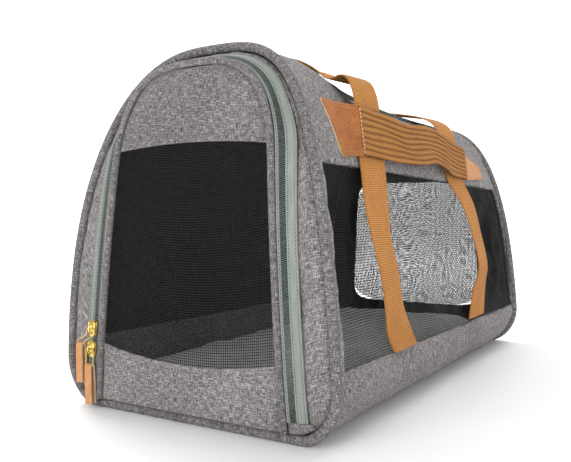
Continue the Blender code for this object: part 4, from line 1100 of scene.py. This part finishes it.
def zip_half(name, ws, tape, coil, body, nodes):
    """A tape with the coil's loops beside it, and a row of stitches and a cord on it.

    The loops of the two halves take turns.
    """
    coil_last = coil[0] > tape[0]
    shares = np.linspace(*tape, 7)
    outer, inner = ([[gusset_point(w, d, rise) for d in shares] for w in ws] for rise in (TAPE_THICK, 0.0))
    shell(f"{name}_tape", outer, inner, body, [SAGE_TAPE], nodes, slot="sage_zip")
    line = [gusset_point(w, sum(coil) / 2, COIL_THICK / 2) for w in ws]
    normals = [gusset_at(w)[2] for w in ws]
    length, width, height = COIL_LOOP
    frames = stitch_frames(line, normals, COIL_PITCH, length, width, 0.0)
    frames[:, 3] *= height / width
    if coil_last:
        frames[:, 0] += unit(frames[:, 1]) * COIL_PITCH / 2
    capsules(f"{name}_coil", frames, body, SAGE_COIL)
    sewn_at = tape[0] + 0.0014 if coil_last else tape[1] - 0.0016
    beside = tape[1] - 0.0012 if coil_last else tape[0] + 0.0014
    for place, thread, label in ((sewn_at, GREY_THREAD, "stitches"), (beside, SAGE_COIL, "cord")):
        row = [gusset_point(w, place, TAPE_THICK) for w in ws]
        stitches(f"{name}_{label}", row, normals, body, thread, 0.0030, 0.0021, 0.0003)


def make_border():
    """The gusset fabric from the zip out to the ring, and all of the gusset below the zip's ends."""
    full = w_at_height(ZIP_FOOT)
    low = [(w, INNER_TAPE[0]) for w in np.linspace(1, w_at_height(ZIP_FOOT - GAP), 5)]
    high = [(w, OUTER_TAPE[1] - 0.0004) for w in np.linspace(full, -full, 300)]
    route = low + high + [(-w, d) for w, d in reversed(low)]
    starts = np.array([gusset_point(w, d, 0.0) for w, d in route])
    frames = [gusset_at(w) for w, _ in route]
    ends = np.array([f[3] + f[1] * 0.0032 for f in frames])
    normals = np.array([f[2] for f in frames])
    shares = np.linspace(0, 1, 15)
    grid = starts[:, None] + (ends - starts)[:, None] * shares[None, :, None]
    width = np.linalg.norm(ends - starts, axis=1)[:, None]
    along = arc_places(grid, 0)[:, :1]
    near = np.minimum(shares, 1 - shares)[None, :] * width
    relief = cloth_relief(shares[None, :] * width, along, near, 71, 0.0004)
    relief = relief + 0.0022 * np.sin(math.pi * shares)[None, :] * np.minimum(width / 0.03, 1.0)
    crease = 0.0010 * np.exp(-(((shares[None, :] - 0.55) / 0.08) ** 2)) * smoothstep(width, 0.018, 0.028)
    outer = grid + normals[:, None] * (relief - crease)[..., None]
    inner = grid + np.array([0, FABRIC, 0])
    border = shell("border", outer, inner, "bag", [HEATHER, BLACK_CLOTH, HEATHER], ["front_border"],
                   slot="grey_weave")
    declare(border, outer, "stretched", "ring_front")
    row = outer[:, 1] * 0.4 + outer[:, 0] * 0.6
    above_foot = slice(len(low), -len(low))
    stitches("border_stitches", row[above_foot], normals[above_foot], "bag", GREY_THREAD, lift=0.0003)


def make_zips():
    full = w_at_height(ZIP_FOOT)
    zip_half("zip_outer", np.linspace(full, -full, 240), OUTER_TAPE, OUTER_COIL, "bag", ["front_zip_outer"])
    left = w_at_height(ZIP_PARK)
    zip_half("zip_inner", np.linspace(full, -left, 220), INNER_TAPE, INNER_COIL, "door", ["door_zip_inner"])
    foot = np.linspace(-left - 0.0015, -full, 30)
    zip_half("zip_foot", foot, INNER_TAPE, INNER_COIL, "bag", ["front_zip_foot"])


def door_grid(heights, inset, columns):
    table = door_outline()
    edge_x, edge_z = table[:, 0] - inset * table[:, 2], table[:, 1] - inset * table[:, 3]
    half_width = np.interp(heights, edge_z, edge_x)
    levels = (DOOR_FOOT, DOOR_WINDOW_LOW, DOOR_WINDOW_TOP, DOOR_HEIGHT)
    bow = np.interp(heights, levels, (0.0, *DOOR_WINDOW_BOW, 0.0))
    shares = np.linspace(1, -1, columns)
    z = heights[:, None] + bow[:, None] * (1 - shares[None, :] ** 2)
    return np.stack([half_width[:, None] * shares, door_y(z), z], axis=-1)


def door_panel(name, heights, hem, node, seed, cloth):
    """A fabric panel of the door, with a turned hem along the window. hem is the hem's row of the grid."""
    inset = DOOR_PIPING_RADIUS - 0.001
    grid = door_grid(heights, inset, 75)
    across = arc_places(grid, 1)
    edge = np.minimum(across, across[:, -1:] - across)
    relief = cloth_relief(grid[..., 0], grid[..., 2], edge, seed, 0.0005)
    to_hem = np.abs(grid[..., 2] - grid[hem, :, 2][None, :])
    relief = relief + 0.0003 * np.exp(-((to_hem / 0.004) ** 2))
    relief = relief - 0.0004 * np.exp(-(((to_hem - 0.0075) / 0.0012) ** 2))
    outer = grid - np.array([0, 1, 0]) * relief[..., None]
    inner = grid + np.array([0, DOOR_THICK, 0])
    piece = shell(name, outer, inner, "door", [cloth, BLACK_CLOTH, cloth], [node], slot="grey_weave",
                  rounded=0.4)
    declare(piece, outer, "stretched", "door_edge_piping")
    sewn_at = heights[hem] + (DOOR_HEM if hem == 0 else -DOOR_HEM)
    row = outer[int(np.argmin(np.abs(heights - sewn_at)))]
    stitches(f"{name}_stitches", row, (0.0, -1.0, 0.0), "door", GREY_THREAD, lift=0.0002)


def make_door():
    low = steps_between(DOOR_FOOT, DOOR_WINDOW_LOW - GAP)
    crown = DOOR_HEIGHT - DOOR_PIPING_RADIUS
    turn = np.linspace(0, math.pi / 2, 34)
    above = DOOR_WINDOW_TOP + GAP + (crown - 0.0012 - DOOR_WINDOW_TOP) * np.sin(turn)
    door_panel("door_lower", low, -1, "door_bottom_panel", 81, HEATHER)
    # The crown gets the darker cloth as painted shade.
    door_panel("door_crown", above, 0, "door_top_panel", 83, PIPING_AND_PAINTED_SHADE_CLOTH)
    heights = steps_between(DOOR_WINDOW_LOW - 0.004, DOOR_WINDOW_TOP + 0.004)
    net = door_grid(heights, DOOR_PIPING_RADIUS - 0.0005, 65)
    x, z = net[..., 0], net[..., 2]
    hold = np.minimum(1.0, np.minimum(0.09 - np.abs(x), np.minimum(z - 0.045, 0.235 - z)) / 0.03).clip(0)
    net[..., 1] += 0.0014 + hold * (0.0012 + 0.0009 * ripples(x, z, 85, 0.07))
    piece = cloth_sheet("door_net", net, "door", NET, ["door_mesh"])
    declare(piece, net, "stretched", "door_lower", "door_crown")
    path = np.array([door_edge(w) for w in np.linspace(1, -1, 300)])
    tube("door_edge_piping", path, DOOR_PIPING_RADIUS, "door", PIPING_AND_PAINTED_SHADE_CLOTH, (0, 1, 0), ["door_piping"])


# ---------------------------------------------------------------- straps, bands and patches


def beside_side(p):
    p[0] = max(p[0], side_point(p[1], p[2])[0] + WEB_THICK / 2 + 2 * GAP)


def above_roof(p):
    if abs(p[0]) < LOOP_ON_ROOF:
        p[2] = max(p[2], roof_height(p[0], p[1]) + WEB_THICK / 2 + 3 * GAP)


def webbing(name, centres, turns, side, clear, body, node):
    """A woven strap along a path: a little thinner at its selvedges, and twisted about its length by the
    turns given.
    """
    tangents = np.gradient(centres, axis=0)
    shares = np.linspace(-0.5, 0.5, 13)
    edge_thin = 1 - 0.45 * np.abs(shares * 2) ** 8
    outer, inner = [], []
    for centre, tangent, turn in zip(centres, tangents, np.radians(turns)):
        level = np.array([0.0, 1.0, 0.0])
        out = unit(np.cross(tangent, level))
        across = level * math.cos(turn) + out * math.sin(turn)
        rise = (out * math.cos(turn) - level * math.sin(turn)) * WEB_THICK / 2
        places = [centre + across * WEB_WIDTH * share for share in shares]
        for p in places:
            clear(p)
        outer.append([(p + rise * thin) * (side, 1, 1) for p, thin in zip(places, edge_thin)])
        inner.append([(p - rise * thin) * (side, 1, 1) for p, thin in zip(places, edge_thin)])
    return shell(name, outer, inner, body, [WEBBING], [node], slot="tan_webbing")


def make_straps():
    for end, route in SIDE_ROUTES.items():
        path = [(*(side_point(y, z) + (off + WEB_THICK / 2, 0, 0)), turn) for z, y, off, turn in route]
        path = smooth_curve(path, 70)
        for side, name in SIDES:
            webbing(f"strap_{end}_{name}", path[:, :3], path[:, 3], side, beside_side, "bag",
                    f"side_strap_{end}_{name}")
        right = smooth_curve(LOOP_ROUTES[end], 40)
        loop = np.vstack([right, right[-2::-1] * MIRROR])
        webbing(f"carry_loop_{end}", loop, np.zeros(len(loop)), 1, above_roof, f"loop_{end}", f"loop_{end}")


def band_edge(y):
    share = (y - BAND_FRONT[0]) / (BAND_REAR[0] - BAND_FRONT[0])
    return [a + (b - a) * share for a, b in zip(BAND_FRONT[1:], BAND_REAR[1:])]


def band_face(y, z):
    low, _ = band_edge(y)
    share = min(max((y - BAND_FRONT[0]) / (BAND_REAR[0] - BAND_FRONT[0]), 0.0), 1.0)
    bow = BAND_OUT * math.sin(math.pi * share) ** 2
    return side_point(y, low)[0] + BAND_STANDOFF + bow - 0.12 * (z - low)


def band_row(y, shares):
    """Outer and inner points across the right-hand band at this y, gathered and bent near its middle."""
    low, high = band_edge(y)
    low += 0.0070 * math.exp(-((y / 0.034) ** 2))
    high -= 0.0035 * math.exp(-(((y + 0.065) / 0.024) ** 2)) + BAND_DROP * smoothstep(y, 0.0, 0.1)
    kink = 0.0016 * math.exp(-(((y - 0.030) / 0.010) ** 2))
    rib = np.abs(np.sin(math.pi * BAND_RIBS * shares)) ** 0.7 * RIB_HEIGHT
    wander = 0.0004 * np.sin(y * 90 + shares * 9)
    face = np.array([[band_face(y, z), y, z] for z in low + (high - low) * shares])
    outer = face + np.outer(BAND_THICK - 0.0010 + rib + kink, (1, 0, 0)) + np.outer(wander, (0, 0, 1))
    return outer, face + np.outer(kink + 0.0009 - rib * 0.5, (1, 0, 0))


def make_bands():
    """Grip bands: two layers of webbing sewn together in rows, which stand up as rounded ribs."""
    ys = np.linspace(BAND_FRONT[0], BAND_REAR[0], 90)
    shares = np.linspace(0, 1, BAND_RIBS * 8 + 1)
    across = (shares - 0.5) * BAND_RIBS * BAND_GROOVE
    places = np.stack(np.broadcast_arrays(across[None, :], ys[:, None]), axis=-1)
    rows = [band_row(y, shares) for y in ys]
    for side, name in SIDES:
        outer, inner = (np.array(grid) * (side, 1, 1) for grid in zip(*rows))
        shell(f"grip_{name}", outer, inner, "bag", [BAND_CLOTH], [f"grip_band_{name}"],
              places=places, slot="tan_webbing")
        for rib in range(1, BAND_RIBS):
            stitches(f"grip_{name}_stitches_{rib}", outer[:, rib * 8], (side, 0.0, 0.1), "bag", TAN_THREAD,
                     0.0026, 0.0019, 0.0003, 0.0)


def rounded_ends(share, length, rounding):
    reach = rounding / length
    near = np.minimum(share, 1 - share)
    inside = np.clip((reach - near) / reach, 0.0, 1.0)
    return rounding * (1 - np.sqrt(1 - inside**2))


def patch_point(band_end, outer_end, direction, rounding, a, share):
    """A point of the patch: a runs from the band to the outer edge, share from the lower edge up."""
    band_z = band_end[1] + (band_end[2] - band_end[1]) * share
    edge_z = outer_end[1] + (outer_end[2] - outer_end[1]) * share
    cut = rounded_ends(share, outer_end[2] - outer_end[1], rounding)
    y = band_end[0] + (outer_end[0] - direction * cut - band_end[0]) * a
    z = band_z + (edge_z - band_z) * a
    on_wrap = side_point(y, z)[0] + 2 * GAP
    x = band_face(band_end[0], band_z) * (1 - a) ** 2 + on_wrap * (1 - (1 - a) ** 2)
    return np.array([max(x, on_wrap), y, z])


def make_patch(end, side, name, band_end, outer_end, direction, leather):
    """A leather patch with a bare cut edge and a row of stitches just inside it."""
    point = functools.partial(patch_point, band_end, outer_end, direction, PATCH_ROUNDING[end])
    ways = np.linspace(0, 1, 22)
    shares = (1 - np.cos(np.linspace(0, math.pi, 27))) / 2
    inner = np.array([[point(a, s) for a in ways] for s in shares])
    near = np.minimum(np.minimum(shares, 1 - shares)[:, None], (1 - ways)[None, :])
    thick = LEATHER_THICK * (1 - 0.25 * np.exp(-near / 0.02))
    outer = (inner + thick[..., None] * (1, 0, 0)) * (side, 1, 1)
    shell(f"patch_{end}_{name}_leather", outer, inner * (side, 1, 1), "bag", [leather, CUT_EDGE, CUT_EDGE],
          [f"patch_{end}_{name}"], slot="tan_leather")
    margin = 0.085
    lower = [(a, margin) for a in np.linspace(0.03, 1 - margin, 20)]
    edge = [(1 - margin, s) for s in np.linspace(margin, 1 - margin, 20)[1:]]
    upper = [(a, 1 - margin) for a in np.linspace(1 - margin, 0.03, 20)[1:]]
    route = lower + edge + upper
    line = (np.array([point(a, s) for a, s in route]) + (LEATHER_THICK, 0, 0)) * (side, 1, 1)
    stitches(f"patch_{end}_{name}_stitches", line, (side, 0.0, 0.35), "bag", TAN_THREAD, 0.0030, 0.0021)
    joint = np.array([(band_face(band_end[0], z) + BAND_THICK + 0.0002, band_end[0] + direction * 0.0008, z)
                      for z in np.linspace(band_end[1] + 0.001, band_end[2] - 0.001, 20)]) * (side, 1, 1)
    thread = PALE_THREAD if end == "front" else TAN_THREAD
    stitches(f"patch_{end}_{name}_join", joint, (side, 0.0, 0.0), "bag", thread, 0.0032, 0.0022, 0.0004)


def make_patches():
    rear_end = (*BAND_REAR[:2], BAND_REAR[2] - BAND_DROP)
    for side, name in SIDES:
        make_patch("front", side, name, BAND_FRONT, FRONT_PATCH_OUTER, -1, LEATHER)
        make_patch("rear", side, name, rear_end, REAR_PATCH_OUTER, 1, SMOOTH_LEATHER)


# ---------------------------------------------------------------- zip hardware


def slider_outline():
    """The outline of a slider's plate: broad at the shoulders, narrower at the tail, nosed at the top."""
    width, _, length = SLIDER_SIZE
    heights = np.array([-1.0, -0.97, -0.80, -0.3, 0.25, 0.62, 0.85, 0.97, 1.0]) * length / 2
    widths = np.array([0.30, 0.52, 0.62, 0.66, 0.97, 1.0, 0.80, 0.42, 0.12]) * width / 2
    right = np.column_stack([widths, heights])
    return np.vstack([right, right[::-1] * (-1, 1)])


def make_slider(name, origin, axes, body, node):
    """Two plates joined by a waist, with a bridge over the link's bar."""
    outline = slider_outline()
    height = SLIDER_SIZE[1]
    levels = (0.0, 0.04, 0.30, 0.34, 0.66, 0.70, 0.96, 1.0)
    scales = (0.90, 1.0, 1.0, 0.80, 0.80, 1.0, 1.0, 0.93)
    rings = np.array([[(x * s, BAR_TO_BLOCK + height * level, z * (0.5 + s / 2)) for x, z in outline]
                      for level, s in zip(levels, scales)])
    count = len(outline)
    index = np.arange(len(levels) * count).reshape(len(levels), count)
    around = np.roll(index, -1, axis=1)
    faces = np.stack([index[:-1], around[:-1], around[1:], index[1:]], axis=-1).reshape(-1, 4).tolist()
    faces += [index[0][::-1].tolist(), index[-1].tolist()]
    points = rings.reshape(-1, 3) @ axes.T + origin
    block = make_piece(f"{name}_body", points, faces, body, [BRASS], [node], angle=35)
    bevel = block.modifiers.new("edges", "BEVEL")
    bevel.width, bevel.segments = 0.00018, 2
    top = -(WIRE / 2 + 3 * GAP + BRIDGE / 2)
    foot = BAR_TO_BLOCK + 0.0006
    turn = np.linspace(0, math.pi, 15)
    arch = np.column_stack([np.zeros(15), foot + (top - foot) * np.sin(turn) ** 0.55,
                            -np.cos(turn) * BRIDGE_SPAN / 2])
    tube(f"{name}_bridge", arch @ axes.T + origin, BRIDGE * 0.55, body, BRASS, axes[:, 0], sides=10)


def make_pull(name, origin, axes, sideways, body):
    """A wire link hung from the bar, and a leather strip folded over its lower end."""
    half = LINK_WIDTH / 2
    under_bar, above_end = LINK_STRAIGHT
    corners = [(half, 0.0), (half, -under_bar), (half + sideways, above_end - LINK_DROP),
               (half + sideways, -LINK_DROP)]
    corners += [(x - LINK_WIDTH, z) for x, z in reversed(corners)]
    path = rounded_loop(np.array(corners), 0.0012)
    path = np.column_stack([path[:, 0], np.zeros(len(path)), path[:, 1]]) @ axes.T + origin
    tube(f"{name}_wire", path, WIRE / 2, body, BRASS, axes[:, 1], [f"link_{name}"], True, 10)
    lengths = np.linspace(0, PULL_LENGTH, 16)
    bend = np.linspace(0, math.pi, 13)[1:-1]
    front = [(-PULL_FOLD - 0.0004 * math.sin(2.4 * d / PULL_LENGTH), -LINK_DROP - d) for d in lengths[::-1]]
    fold = [(-PULL_FOLD * math.cos(a), -LINK_DROP + PULL_FOLD * math.sin(a)) for a in bend]
    back = [(-y, z) for y, z in front[::-1]]
    path = np.array(front + fold + back)
    step = np.gradient(path, axis=0)
    normals = unit(np.column_stack([-step[:, 1], step[:, 0]]))
    across = np.linspace(-PULL_WIDTH / 2, PULL_WIDTH / 2, 7)
    layers = []
    for side in (1, -1):
        layer = path + normals * side * PULL_LAYER / 2
        grid = [[(sideways + x, y, z) for x in across] for y, z in layer]
        layers.append(np.array(grid) @ axes.T + origin)
    shell(f"{name}_leather", *layers, body, [PULL_LEATHER, SMOOTH_LEATHER, CUT_EDGE], [f"pull_{name}"],
          slot="tan_leather")


def rounded_loop(corners, radius):
    """A closed loop of points with its corners rounded."""
    made = []
    for before, at, after in zip(np.roll(corners, 1, axis=0), corners, np.roll(corners, -1, axis=0)):
        start = at + unit(before - at) * radius
        end = at + unit(after - at) * radius
        for s in np.linspace(0, 1, 5):
            made.append((1 - s) ** 2 * start + 2 * s * (1 - s) * at + s**2 * end)
    return np.array(made)


def make_zip_hardware():
    for name, (z, sideways) in SLIDERS.items():
        on_coil = gusset_point(-w_at_height(z), (INNER_COIL[1] + OUTER_COIL[0]) / 2, COIL_THICK + 2 * GAP)
        origin = on_coil - (0, SLIDER_SIZE[1] + BAR_TO_BLOCK, 0)
        make_slider(f"zip_{name}", origin, np.eye(3), f"slider_{name}", f"slider_{name}")
        make_pull(name, origin, np.eye(3), sideways, f"pull_{name}")
    edge = v_at_half_width(FLAP_HALF_WIDTH) - (ZIP_TAPE / 2) / HALF_OUTLINE
    base, above = wrap_point(-edge, ROOF_SLIDER_T, GAP), wrap_point(-edge, ROOF_SLIDER_T, GAP + 0.001)
    normal = unit(above - base)
    forward = wrap_point(-edge, ROOF_SLIDER_T - 0.02, GAP) - base
    forward = unit(forward - normal * forward.dot(normal))
    axes = np.column_stack([np.cross(-normal, forward), -normal, forward])
    origin = base + normal * (SLIDER_SIZE[1] + BAR_TO_BLOCK + GAP)
    make_slider("zip_roof", origin, axes, "slider_roof", "roof_slider")
    make_pull("roof", origin, axes, 0.0, "pull_roof")


# ---------------------------------------------------------------- camera, floor and light


def make_camera():
    level = Vector((math.cos(CAMERA_YAW), math.sin(CAMERA_YAW), 0.0))
    flat = math.cos(CAMERA_PITCH)
    ahead = Vector((-level.y * flat, level.x * flat, -math.sin(CAMERA_PITCH)))
    over = level.cross(ahead)
    right = level * math.cos(CAMERA_ROLL) - over * math.sin(CAMERA_ROLL)
    up = over * math.cos(CAMERA_ROLL) + level * math.sin(CAMERA_ROLL)
    camera = bpy.data.objects.new("camera", bpy.data.cameras.new("camera"))
    camera.data.sensor_width = 36.0
    camera.data.lens = CAMERA_LENS
    turned = Matrix((right, up, -ahead)).transposed().to_4x4()
    camera.matrix_world = Matrix.Translation(CAMERA_PLACE) @ turned
    bpy.context.scene.collection.objects.link(camera)
    bpy.context.scene.camera = camera


def make_area(name, place, target, size, power):
    light = bpy.data.objects.new(name, bpy.data.lights.new(name, "AREA"))
    light.data.shape = "RECTANGLE"
    light.data.size, light.data.size_y = size
    light.data.energy = power
    light.location = place
    light.rotation_euler = (Vector(target) - Vector(place)).to_track_quat("-Z", "Y").to_euler()
    bpy.context.scene.collection.objects.link(light)


def make_room():
    """A white floor that curves up into a backdrop, a white sky and soft lamps."""
    profile = [(-3.0, 0.0), (2.2, 0.0)]
    turn = np.linspace(0, math.pi / 2, 12)
    profile += [(2.2 + 0.8 * math.sin(a), 0.8 - 0.8 * math.cos(a)) for a in turn[1:]] + [(3.0, 4.0)]
    cos, sin = math.cos(CAMERA_YAW), math.sin(CAMERA_YAW)
    rows = np.array([[(x * cos - y * sin, x * sin + y * cos, z) for x in np.linspace(-4, 4, 9)]
                     for y, z in profile])
    faces = grid_faces(*rows.shape[:2])[:, ::-1]
    data = bpy.data.meshes.new("backdrop")
    data.from_pydata(rows.reshape(-1, 3).tolist(), [], faces.tolist())
    data.materials.append(floor_look("paper"))
    data.shade_smooth()
    backdrop = bpy.data.objects.new("backdrop", data)
    bpy.context.scene.collection.objects.link(backdrop)
    world = bpy.data.worlds.new("sky")
    world.use_nodes = True
    inputs = world.node_tree.nodes["Background"].inputs
    inputs["Color"].default_value = (1.0, 1.0, 1.0, 1.0)
    inputs["Strength"].default_value = SKY_STRENGTH
    bpy.context.scene.world = world
    bpy.context.scene.view_settings.view_transform = "Standard"
    for name, lamp in LAMPS.items():
        make_area(name, *lamp)


def main():
    make_camera()
    make_room()
    make_rings()
    make_wrap()
    make_rear()
    make_mat()
    make_border()
    make_zips()
    make_door()
    make_straps()
    make_bands()
    make_patches()
    make_zip_hardware()


main()
